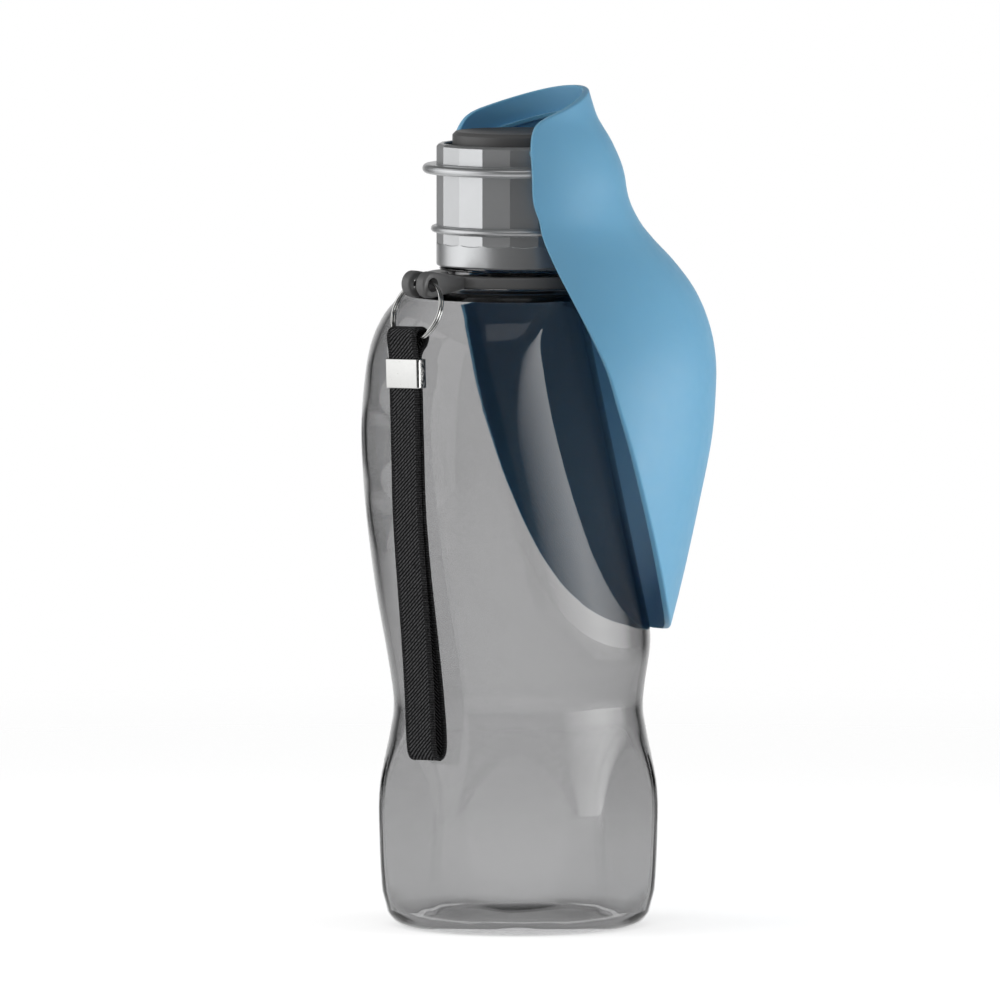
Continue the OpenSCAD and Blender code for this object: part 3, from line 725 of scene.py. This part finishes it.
# %% Finish of the leaf
silicone = Finish("blue silicone", Base_Color=(0.158, 0.407, 0.615, 1), Roughness=0.46, IOR=1.41,
                  Subsurface_Weight=0.25, Subsurface_Scale=0.003,
                  Subsurface_Radius=(0.6, 1.0, 1.3), Sheen_Weight=0.12, Sheen_Roughness=0.4)
cloudy = silicone.noise(45, 4)
silicone.set(Base_Color=silicone.blend(cloudy, (0.155, 0.402, 0.61, 1), (0.177, 0.44, 0.655, 1)))
silicone.set(Roughness=silicone.spread(silicone.noise(220, 5), 0.3, 0.7, 0.40, 0.54))
silicone.bump(silicone.noise(2600, 3), 0.00005, 0.25)
make_piece("drinking_leaf", leaf_points, leaf_faces, "bowl", silicone,
           ["silicone_bowl"], sharp_over=50)

# %% [markdown]
# ## The cap
# The cap is a turned part with a faceted grip: eighteen flat faces whose corners touch the skirt's
# circle. In each row of the sheet the radius is the profile's, and between the facet heights it is
# also held back by the nearest flat face: its distance from the axis divided by the cosine of the
# angle away from its middle. Where the flats die out into the round skirt they leave small scallops.
# Two round beads run over the grip, the upper one to hold the leaf's hood. A cylinder cut by eighteen
# planes would do the same, but the beads would then have to be joined on over the cut.

# %% Sizes of the cap, in mm
cap_radius, cap_bore, cap_low, cap_high = 24.1, 21.95, 194.6, 230.5
facets, facet_low = 18, 201.0
deck_low, deck_high, deck_hole, well_radius = 213.72, 216.22, 9.6, 21.8
upper_bead, upper_bead_z, upper_bead_round = 28.2, 223.1, 1.4
lower_bead, lower_bead_z, lower_bead_round = 25.7, 205.4, 1.0
# each face starts higher at its corners than at its middle, and the cut sets in over a short height
corner_rise, cut_blend = 0.5, 0.2
bead_fade = 0.9  # the cut has faded out this far up the side of a bead
print("the cap is", round(cap_high - cap_low, 1), "mm high and has", facets, "flat faces")


# %% Profile of the cap
def round_bead(reach, z, radius, base):
    """Points of a bead: a small fillet, half a circle whose radius and height follow the cosine and
    the sine of a turn, and the same fillet upside down."""
    turn = np.radians(np.linspace(-90, 90, 11))
    arc = np.stack([reach - radius + radius * np.cos(turn), z + radius * np.sin(turn)], axis=-1)
    low = [(base, z - radius - 0.25), (base + 0.12, z - radius - 0.07), (base + 0.4, z - radius)]
    return np.concatenate([low, arc, [(r, 2 * z - h) for r, h in low[::-1]]])


cap_profile = np.concatenate([
    [(cap_bore, deck_low - 1.2), (cap_bore, 205), (cap_bore, cap_low + 0.5),
     (cap_bore + 0.2, cap_low + 0.12), (cap_bore + 0.5, cap_low), (cap_radius - 0.5, cap_low),
     (cap_radius - 0.15, cap_low + 0.15), (cap_radius, cap_low + 0.5), (cap_radius, 198),
     (cap_radius, facet_low - 0.6)],
    upright(cap_radius, facet_low - 0.2, facet_low + 0.75, 20),
    round_bead(lower_bead, lower_bead_z, lower_bead_round, cap_radius),
    upright(cap_radius, 207.5, 220.5, 6),
    round_bead(upper_bead, upper_bead_z, upper_bead_round, cap_radius),
    [(cap_radius, 226), (cap_radius, cap_high - 1.1), (cap_radius - 0.1, cap_high - 0.72),
     (cap_radius - 0.62, cap_high - 0.12), (cap_radius - 0.9, cap_high),
     (well_radius + 0.45, cap_high), (well_radius + 0.12, cap_high - 0.12),
     (well_radius, cap_high - 0.45), (well_radius, 224),
     (well_radius, deck_high + 0.5), (well_radius - 0.5, deck_high),
     (deck_hole + 0.2, deck_high), (deck_hole, deck_high - 0.2), (deck_hole, deck_low + 0.2),
     (deck_hole + 0.2, deck_low), (cap_bore - 0.6, deck_low), (cap_bore, deck_low - 0.6)]])
print("the cap's profile has", len(cap_profile), "points")

# %% Cut the facets
columns_per_facet = 16
cap_columns = facets * columns_per_facet
cap_angle = full_turn(cap_columns)
cap_radii, cap_heights = cap_profile[:, :1], cap_profile[:, 1:] + 0 * cap_angle
from_middle = (cap_angle * facets / (2 * np.pi)) % 1 - 0.5
cut_depth = cap_radius * (1 - math.cos(math.pi / facets) / np.cos(from_middle * 2 * np.pi / facets))
start = facet_low + corner_rise * (2 * abs(from_middle)) ** 2
cut_in = ease((cap_heights - start + cut_blend / 2) / cut_blend)
# the cut is full on the grip and its top edge, and fades out over the root of a bead
on_outside = cap_radii > cap_bore + 1
on_grip = np.where(on_outside, np.clip(1 - (cap_radii - cap_radius) / bead_fade, 0, 1), 0)
cap_reach = cap_radii - cut_depth * cut_in * on_grip
cap_points = round_axis(cap_reach, cap_angle, cap_heights)
print("a face is cut", cut_depth.max().round(2), "mm deep at its middle")

# %% [markdown]
# ## Silver paint
# The cap is plastic under a satin silver paint, so it is a little less of a mirror than bare metal
# and has a thin clear coat on top. Flakes could be drawn one by one, but at this size they read as
# grain: a fine noise feeds the roughness and the bump, and a slow one shifts the tone.

# %% Finish of the cap
silver_tone, darker_share, silver_roughness = (0.62, 0.63, 0.64), 0.93, 0.34
silver = Finish("silver cap paint", Base_Color=(*silver_tone, 1), Metallic=0.85,
                Roughness=silver_roughness, Coat_Weight=0.25, Coat_Roughness=0.18)
flakes = silver.noise(1800, 4)
tone = silver.spread(silver.noise(60, 3), 0.25, 0.75, 0.0, 1.0)
darker_tone = tuple(darker_share * part for part in silver_tone)
silver.set(Base_Color=silver.blend(tone, (*darker_tone, 1), (*silver_tone, 1)))
silver.set(Roughness=silver.spread(flakes, 0.2, 0.8, silver_roughness - 0.05,
                                   silver_roughness + 0.06))
silver.bump(flakes, 0.00002, 0.3)
make_piece("screw_cap", cap_points, sheet_faces(len(cap_profile), cap_columns, wrap_rows=True),
           "cap", silver, ["cap_body"], sharp_over=9)

# %% [markdown]
# ## The pull plug
# The lid of the valve is a shallow cup turned upside down, with a chamfer round its top. Spin or a
# Screw modifier could turn its profile, but here a profile is just a sheet with one more loop. Its
# matt dark plastic comes from a spark-eroded mould, so it carries an even, very fine grain. The
# collar's plastic is the same in a lighter grey, so one function mixes both.

# %% A finish for grained plastic
def grained_plastic(name, darker, lighter, cloud_scale, grain_scale, smooth, rough):
    """Grey that drifts slowly from a darker to a lighter one, with a fine grain that runs the
    roughness from smooth to rough and raises the bump."""
    grey = (darker + lighter) / 2
    finish = Finish(name, Base_Color=(grey, grey, grey, 1), Roughness=(smooth + rough) / 2, IOR=1.49)
    grain = finish.noise(grain_scale, 3)
    clouds = finish.noise(cloud_scale, 3)
    finish.set(Base_Color=finish.blend(clouds, (darker, darker, darker, 1),
                                       (lighter, lighter, lighter, 1)))
    finish.set(Roughness=finish.spread(grain, 0.2, 0.8, smooth, rough))
    finish.bump(grain, 0.00004, 0.4)
    return finish


dark_grey = grained_plastic("dark grey plastic", 0.095, 0.115, 70, 2200, 0.36, 0.5)
mid_grey = grained_plastic("mid grey plastic", 0.115, 0.145, 90, 2000, 0.32, 0.46)
print("two grained plastics:", dark_grey.owner.name, "and", mid_grey.owner.name)

# %% Build the plug
plug_radius, plug_low, plug_high = 19.4, 225.0, 234.0
plug_wall, plug_crown, plug_chamfer, plug_bend, plug_columns = 1.8, 2.0, 1.0, 0.2, 144
chamfer_start, under_crown = plug_radius - plug_chamfer, plug_high - plug_crown
plug_profile = np.concatenate([
    [(0, plug_high)],
    np.stack([np.linspace(3, chamfer_start - 0.25, 8), np.full(8, plug_high)], axis=-1),
    rounded([(chamfer_start - 0.25, plug_high), (chamfer_start, plug_high),
             (plug_radius, plug_high - plug_chamfer), (plug_radius, plug_low),
             (plug_radius - plug_wall, plug_low), (plug_radius - plug_wall, under_crown),
             (2.6, under_crown), (0, under_crown)], plug_bend)])
make_piece("pull_plug", revolve(plug_profile, plug_columns),
           sheet_faces(len(plug_profile), plug_columns), "valve", dark_grey,
           ["valve_plug"], sharp_over=40)

# %% [markdown]
# ## The collar and its lugs
# A loose band sits between the bottle's shoulder and the flange of the neck, and two lugs stand out
# behind it to carry the split ring. Each lug is a flat plate whose outline tapers from the band to a
# round eye. An extruded outline with a Bevel modifier would do too; here its sheet runs round the
# outline, with rows that step over the plate's thickness, so the edges come out rounded, and round
# the hole back to the start.

# %% Build the collar band
collar_low, collar_height, collar_radius, collar_bore = 189.1, 3.3, 27.3, 20.9
collar_columns, collar_bend = 192, 0.5
lug_turn, lug_reach, lug_z = math.radians(200.5), 39.7, 190.75
lug_eye, lug_hole, lug_plate, lug_gap = 3.9, 2.1, 3.6, 2.5
collar_high = collar_low + collar_height
# the outline starts and ends half way up the bore, so its last point repeats the first one
band = rounded([(collar_bore, lug_z), (collar_bore, collar_low), (collar_radius, collar_low),
                (collar_radius, collar_high), (collar_bore, collar_high), (collar_bore, lug_z)],
               collar_bend)[:-1]
make_piece("collar_band", revolve(band, collar_columns),
           sheet_faces(len(band), collar_columns, wrap_rows=True), "collar",
           mid_grey, ["strap_collar"], sharp_over=40)


# %% Outline of a lug
lug_root = 1.0  # a lug is rooted this deep in the band
tiny = 1e-6  # keeps a division from meeting zero


def turned(local):
    """Local points (out from the axis, sideways, up) turned to the lugs' direction: x cos - y sin,
    x sin + y cos, and the height as it is."""
    x, y, z = local[..., 0], local[..., 1], local[..., 2]
    return np.stack([x * math.cos(lug_turn) - y * math.sin(lug_turn),
                     x * math.sin(lug_turn) + y * math.cos(lug_turn), z], axis=-1)


def lug_outline(count):
    """The tapered outline round the eye at equal angles, as radii: the arc of the eye outside, and
    on the band's side the two straight edges that run to the band's full height. A straight edge
    lies at its distance from the eye's middle over the cosine of the angle away from its normal."""
    turn = full_turn(count)
    inner_x = collar_radius - lug_root - lug_reach
    direction = np.stack([np.cos(turn), np.sin(turn)], axis=-1)
    edge = np.array([0, lug_eye]) - np.array([inner_x, collar_height / 2])
    normal = np.array([-edge[1], edge[0]]) / np.hypot(*edge)
    away = normal @ np.array([0, lug_eye])
    slope = abs(direction[:, 1]) * normal[1] + direction[:, 0] * normal[0]
    straight = np.where(slope > tiny, away / np.maximum(slope, tiny), far)
    back = np.where(direction[:, 0] < -tiny, inner_x / np.minimum(direction[:, 0], -tiny), far)
    return direction, np.where(direction[:, 0] < 0, np.minimum(straight, back), lug_eye)


direction, lug_radii = lug_outline(240)
print("a lug reaches from", lug_radii.min().round(1), "to", lug_radii.max().round(1), "mm")

# %% Build the two lugs
edge_round, half_plate = 0.7, lug_plate / 2
edge_bend = np.radians(np.linspace(0, 90, 5))
# a row is how far it lies inside the outline, and how far from the plate's middle; the first and the
# last one, on the hole's edge, follow the hole instead
lug_rows = [(edge_round * (1 - math.sin(s)), -half_plate + edge_round * (1 - math.cos(s)))
            for s in edge_bend]
lug_rows = lug_rows + [(inset, -offset) for inset, offset in lug_rows[::-1]]
lug_rows = [(None, -half_plate)] + lug_rows + [(None, half_plate)]
for name, side in (("collar_lug_left", 1), ("collar_lug_right", -1)):
    middle_of_plate = side * (lug_gap + lug_plate) / 2
    sheet = []
    for inset, offset in lug_rows:
        radius = lug_hole + 0 * lug_radii if inset is None else lug_radii - inset
        sheet.append(np.stack([lug_reach + direction[:, 0] * radius,
                               middle_of_plate + offset + 0 * radius,
                               lug_z + direction[:, 1] * radius], axis=-1))
    sheet = turned(np.array(sheet))
    make_piece(name, sheet, sheet_faces(len(lug_rows), len(lug_radii), wrap_rows=True), "collar",
               mid_grey, sharp_over=40)

# %% [markdown]
# ## The split ring
# A split ring is one wire wound twice round. The path turns almost two full times; at the end of the
# first turn it steps across from one side to the other, and both ends stop beside that step. The
# section is a circle a little flattened where the turns touch. A bevelled curve would be quicker, but
# its section can't be flattened on one side only or brought to a rounded end.

# %% Where the ring hangs
ring_radius, ring_lean, ring_shift, ring_hang = 9.4, math.radians(22), 1.3, 8.3
ring_foot_z = lug_z - (ring_hang + ring_radius) * math.cos(ring_lean)
ring_foot_x = lug_reach + (ring_hang + ring_radius) * math.sin(ring_lean)


def at_ring(across, side, up):
    """From the ring's own frame (along its axis, sideways, up) to its place in the lugs' hole: hung
    down, leaned by its angle as in turned(), but about the line through both holes, and turned."""
    up = up - ring_hang
    x = across * math.cos(ring_lean) - up * math.sin(ring_lean)
    z = across * math.sin(ring_lean) + up * math.cos(ring_lean)
    return turned(np.stack([lug_reach + x, side + ring_shift, lug_z + z], axis=-1))


print("the ring's lowest point is", round(ring_foot_z, 1), "mm up")

# %% Build the split ring
wire_rows, wire_sides, wire_tip = 400, 16, 0.3
wire_half, wire_flat, wire_aside = 0.49, 0.44, 0.46
ring_step, ring_start = math.radians(11), math.radians(205)
ring_path = np.linspace(ring_step, 4 * np.pi - ring_step, wire_rows)
section = full_turn(wire_sides)
aside = wire_aside * (2 * ease((ring_path - 2 * np.pi + ring_step) / (2 * ring_step)) - 1)
# the wire thins out to nothing over its last bit, on a quarter circle, which rounds and closes it
from_tip = np.minimum(ring_path - ring_path[0], ring_path[-1] - ring_path) * ring_radius
thick = np.sqrt(np.clip(1 - np.clip(1 - from_tip / wire_tip, 0, 1) ** 2, 0, 1))[:, None]
phase = ring_path[:, None] + ring_start
outward = ring_radius + wire_half * thick * np.cos(section)
ring_points = at_ring(aside[:, None] + wire_flat * thick * np.sin(section),
                      outward * np.sin(phase), outward * np.cos(phase))
print("the wire is", 2 * wire_half, "mm thick and", len(ring_path), "rows long")

# %% [markdown]
# ## Bright nickel
# Ring and clasp are plated with nickel, which is a mirror until it has been handled for a while. One
# even roughness would look like new chrome, so a noise makes duller patches in the shine, and a very
# shallow bump breaks up the edges of what is mirrored in it.

# %% Finish of the ring
steel = Finish("bright nickel", Base_Color=(0.6, 0.6, 0.59, 1), Metallic=1.0, Roughness=0.16)
rubbed = steel.noise(900, 5)
steel.set(Roughness=steel.spread(rubbed, 0.3, 0.75, 0.1, 0.3))
steel.bump(steel.noise(1400, 2), 0.00002, 0.25)
make_piece("key_ring", ring_points, sheet_faces(wire_rows, wire_sides), "ring",
           steel, ["split_ring"])

# %% [markdown]
# ## The wrist strap
# The strap is flat webbing in one closed loop, doubled through the ring. A bevelled curve could do
# for it, but a curve twists a flat section where it bends sharply, and here the section is turned by
# the path's own direction. Each face corner also carries its distance along the strap and across it
# in millimetres, so that the weave can follow the webbing round its bends.

# %% The strap's route, in mm out from the axis and up
back_x, front_x = 47.05, 48.45
clasp_high, clasp_height, clasp_width = 169.4, 8.6, 14.0
strap_half, strap_thick, strap_lean = 6.0, 1.1, math.radians(2)
eye_x, eye_half = ring_foot_x + 0.15, 2.05 + strap_thick / 2
eye_z = ring_foot_z + 1.4
strap_route = [
    (40.7, 58), (41.4, 70), (43.2, 87), (45.4, 106), (back_x - 0.2, 124), (back_x, 140),
    (back_x, clasp_high - clasp_height - 1), (back_x, clasp_high + 0.5),
    (eye_x - eye_half + 0.7, eye_z - 2.2), (eye_x - eye_half, eye_z),
    (eye_x - eye_half * 0.7, eye_z + eye_half * 0.75), (eye_x, eye_z + eye_half),
    (eye_x + eye_half * 0.7, eye_z + eye_half * 0.75), (eye_x + eye_half, eye_z),
    (front_x + 0.3, clasp_high + 3.4), (front_x, clasp_high + 0.8),
    (front_x, clasp_high - clasp_height - 1), (front_x, 140), (front_x, 124), (47.5, 106),
    (46.2, 87), (45.4, 70), (45.2, 58), (44.6, 53.4), (43, 52), (41.2, 53.6)]


def at_strap(x, y, z):
    """From the strap's own frame to its place: leaned a little sideways about the ring's foot, by y
    cos - z sin and y sin + z cos, and turned to the lugs' direction."""
    up = z - ring_foot_z
    side = y * math.cos(strap_lean) - up * math.sin(strap_lean)
    rise = y * math.sin(strap_lean) + up * math.cos(strap_lean)
    return turned(np.stack([x, side + ring_shift, rise + ring_foot_z], axis=-1))


route_steps = 40
curve = through_loop(strap_route, route_steps)
along = np.concatenate([[0], np.cumsum(np.hypot(*(np.roll(curve, -1, axis=0) - curve).T))])
strap_length = along[-1]
print("the strap is", round(strap_length), "mm round its loop")

# %% Sweep the strap's section
strap_pair = 1.4  # every two rows lie about this far apart
strap_count = 2 * int(strap_length / strap_pair)
where = np.arange(strap_count) * strap_length / strap_count
closed = np.concatenate([curve, curve[:1]])
middle = np.stack([np.interp(where, along, closed[:, k]) for k in (0, 1)], axis=-1)
ahead = np.roll(middle, -2, axis=0) - np.roll(middle, 2, axis=0)
ahead /= np.hypot(*ahead.T)[:, None]
beside = np.stack([-ahead[:, 1], ahead[:, 0]], axis=-1)

flat_run = np.linspace(-1, 1, 13)[:-1]
flat_side = np.ones(len(flat_run))
bend = np.radians(np.linspace(0, 180, 9)[:-1])
edge_width = strap_thick / 2
run = strap_half - edge_width
oval_side = np.concatenate([flat_run * run, run + edge_width * np.sin(bend),
                            -flat_run * run, -run - edge_width * np.sin(bend)])
oval_off = np.concatenate([flat_side, np.cos(bend), -flat_side, -np.cos(bend)])
# the middle of the webbing is a little thinner than its woven edges
thinning = 0.12
oval_off = oval_off * (1 - thinning * (1 - np.clip(abs(oval_side) / run, 0, 1) ** 6)) * edge_width
strap_points = at_strap(middle[:, :1] + beside[:, :1] * oval_off,
                        oval_side + 0 * middle[:, :1],
                        middle[:, 1:] + beside[:, 1:] * oval_off)
section_count = len(oval_side)
strap_faces = sheet_faces(strap_count, section_count, wrap_rows=True)
row_of, column_of = strap_faces // section_count, strap_faces % section_count
# in the faces that close the loop, the first row counts as one past the last
closes = (row_of == 0) & (row_of.max(axis=1, keepdims=True) == strap_count - 1)
row_along = np.where(closes, strap_count, row_of)
strap_uv = np.stack([row_along * strap_length / strap_count, oval_side[column_of]], axis=-1)
print("the strap has", strap_count, "rows of", section_count, "points")

# %% [markdown]
# ## Black webbing
# The weave is ribs of weft across, each broken into the diagonal steps of a twill, with a plain tight
# edge on both sides. Threads could be modelled one by one, but at half a millimetre each they are a
# pattern: sine waves of the distances along and across, mixed as numbers. The same number raises the
# bump and makes the crests a little smoother than the hollows. It also greys the crests as a painted
# highlight of their shine, and keeps the hollows black as painted shade.

# %% Finish of the strap
# periods in mm; a slant is how far a wave moves along for each mm across, or the other way round
rib_slant, rib_period, cord_period = 0.8, 1.15, 1.35
thread_slant, thread_period, selvedge_period = 0.5, 0.34, 0.5
selvedge_from, selvedge_to = strap_half - 1.6, strap_half - 1.3

webbing = Finish("black webbing", Base_Color=(0.01, 0.01, 0.011, 1), Roughness=0.75,
                 Sheen_Weight=0.01, Sheen_Roughness=0.35, Specular_IOR_Level=0.03)
weave = webbing.node("ShaderNodeUVMap", {"uv_map": "weave"})
split = webbing.node("ShaderNodeSeparateXYZ", values={"Vector": weave})
along_strap, across_strap = split, Number(webbing, split.socket.node.outputs["Y"])


def wave(value, period):
    """Half of one plus the sine: a smooth wave from 0 to 1, with a period in the value's units."""
    return value.maths("SINE", value * (2 * math.pi / period)) * 0.5 + 0.5


ribs = wave(along_strap + across_strap * rib_slant, rib_period)
cords = wave(across_strap, cord_period)
threads = wave(along_strap * thread_slant - across_strap, thread_period)
from_middle_line = across_strap.maths("ABSOLUTE", across_strap)
selvedge = webbing.spread(from_middle_line, selvedge_from, selvedge_to, 0.0, 1.0)
twill = ribs * (cords * 0.25 + 0.75) * (1 - selvedge)
weave_and_sheen = twill + wave(along_strap, selvedge_period) * selvedge * 0.6
weave_and_sheen = weave_and_sheen * 0.9 + threads * 0.18 + webbing.noise(2000, 3) * 1.1 - 0.5
# squared, the hollows of the weave stay black as painted shade, and only its crests turn grey as a
# painted highlight of their shine
hollow_painted_shade, crest_painted_highlight = (0.001, 0.001, 0.0012, 1), (0.11, 0.11, 0.114, 1)
webbing.set(Base_Color=webbing.blend(weave_and_sheen * weave_and_sheen, hollow_painted_shade, crest_painted_highlight))
webbing.set(Roughness=webbing.spread(weave_and_sheen, 0, 1, 0.85, 0.6))
webbing.bump(weave_and_sheen, 0.00022, 0.8)
make_piece("wrist_strap", strap_points, strap_faces, "strap", webbing,
           ["strap_loop"], corner_uv=strap_uv)


# %% [markdown]
# ## The clasp
# A pressed metal sleeve holds the two strands together under the ring. A cube with its ends cut out,
# a Solidify and a Bevel would come close; as a sheet it needs no modifier. It goes round the rounded
# oblong of its outline and, row by row, over the outside, round each rolled end and back through the
# inside.

# %% Build the clasp
corner_points = 12


def oblong(half_x, half_y, corner):
    """Rounded rectangle: four quarter circles about points a corner's radius in from both sides. It
    has the same number of points for any size, so that rows match up."""
    turn = np.radians(np.linspace(0, 90, corner_points))
    out = [np.stack([sx * (half_x - corner) + corner * np.cos(turn + start),
                     sy * (half_y - corner) + corner * np.sin(turn + start)], axis=-1)
           for sx, sy, start in ((1, 1, 0), (-1, 1, np.pi / 2), (-1, -1, np.pi),
                                 (1, -1, 1.5 * np.pi))]
    return np.concatenate(out)


clasp_wall, clasp_play, clasp_corner = 0.6, 0.05, 0.95
clasp_half_x = (front_x - back_x + strap_thick) / 2 + clasp_play + clasp_wall
clasp_roll, clasp_low = clasp_wall / 2, clasp_high - clasp_height
# over a rolled end, from the inside to the outside: how far in a row lies, and how far from the end
rolled_end = [(clasp_roll + clasp_roll * math.cos(s), clasp_roll - clasp_roll * math.sin(s))
              for s in np.radians(np.linspace(0, 180, 9))]
clasp_rows = [(inset, clasp_low + rise) for inset, rise in rolled_end]
clasp_rows += [(inset, clasp_high - rise) for inset, rise in rolled_end[::-1]]
sheet = []
for inset, z in clasp_rows:
    outline = oblong(clasp_half_x - inset, clasp_width / 2 - inset, clasp_corner - inset)
    sheet.append(at_strap((back_x + front_x) / 2 + outline[:, 0], outline[:, 1],
                          np.full(len(outline), z)))
make_piece("metal_clasp", np.array(sheet), sheet_faces(len(sheet), len(sheet[0]), wrap_rows=True),
           "strap", steel, ["strap_clasp"], sharp_over=50)

# %% [markdown]
# ## Pieces inside the cap
# The gasket, washer, valve seat, stem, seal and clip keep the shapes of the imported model, since only
# a glimpse of them shows when the cap is off, and new meshes would add nothing to that. Each gets
# its own finish: pale or black rubber with a faint bloom, dark plastic for the seat, and turned steel
# with fine rings round its length, drawn by a noise that reads nothing but the height.

# %% Finishes of the inner pieces
def add_bloom(finish, darker, lighter, smooth, rough):
    """Give a rubber its bloom: one cloudy noise takes the colour from darker to lighter and the
    roughness from smooth to rough, and a finer one raises the bump."""
    bloom = finish.noise(300, 5)
    finish.set(Base_Color=finish.blend(bloom, (*darker, 1), (*lighter, 1)))
    finish.set(Roughness=finish.spread(bloom, 0.3, 0.7, smooth, rough))
    finish.bump(finish.noise(2500, 3), 0.00004, 0.4)


rubber = Finish("black rubber", Base_Color=(0.02, 0.02, 0.021, 1), Roughness=0.7)
add_bloom(rubber, (0.016, 0.016, 0.017), (0.05, 0.05, 0.052), 0.62, 0.8)
seal = Finish("pale seal rubber", Base_Color=(0.5, 0.5, 0.49, 1), Roughness=0.6,
              Subsurface_Weight=0.1, Subsurface_Scale=0.001)
add_bloom(seal, (0.46, 0.46, 0.45), (0.56, 0.56, 0.55), 0.52, 0.68)

rings_per_metre = 9000
turned_steel = Finish("turned steel", Base_Color=(0.6, 0.6, 0.59, 1), Metallic=1.0, Roughness=0.25)
up_stem = turned_steel.node("ShaderNodeSeparateXYZ", values={"Vector": turned_steel.place()},
                            output=2)
lines = turned_steel.node("ShaderNodeTexNoise", {"noise_dimensions": "1D"},
                          {"W": up_stem * rings_per_metre, "Scale": 1.0, "Detail": 2.0})
turned_steel.set(Roughness=turned_steel.spread(lines, 0.3, 0.7, 0.18, 0.34))
turned_steel.bump(lines, 0.00001, 0.4)
for name, finish in (("neck_gasket", seal), ("seat_washer", seal), ("stem_seal", rubber),
                     ("valve_seat", dark_grey), ("valve_stem", turned_steel),
                     ("stem_clip", turned_steel)):
    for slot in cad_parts[name].material_slots:
        slot.material = finish.owner
    print(name, "gets", finish.owner.name)

# %% [markdown]
# ## Last steps
# The picture is shown without any tone curve.

# %% Show the picture without a tone curve
bpy.context.scene.view_settings.view_transform = "Standard"
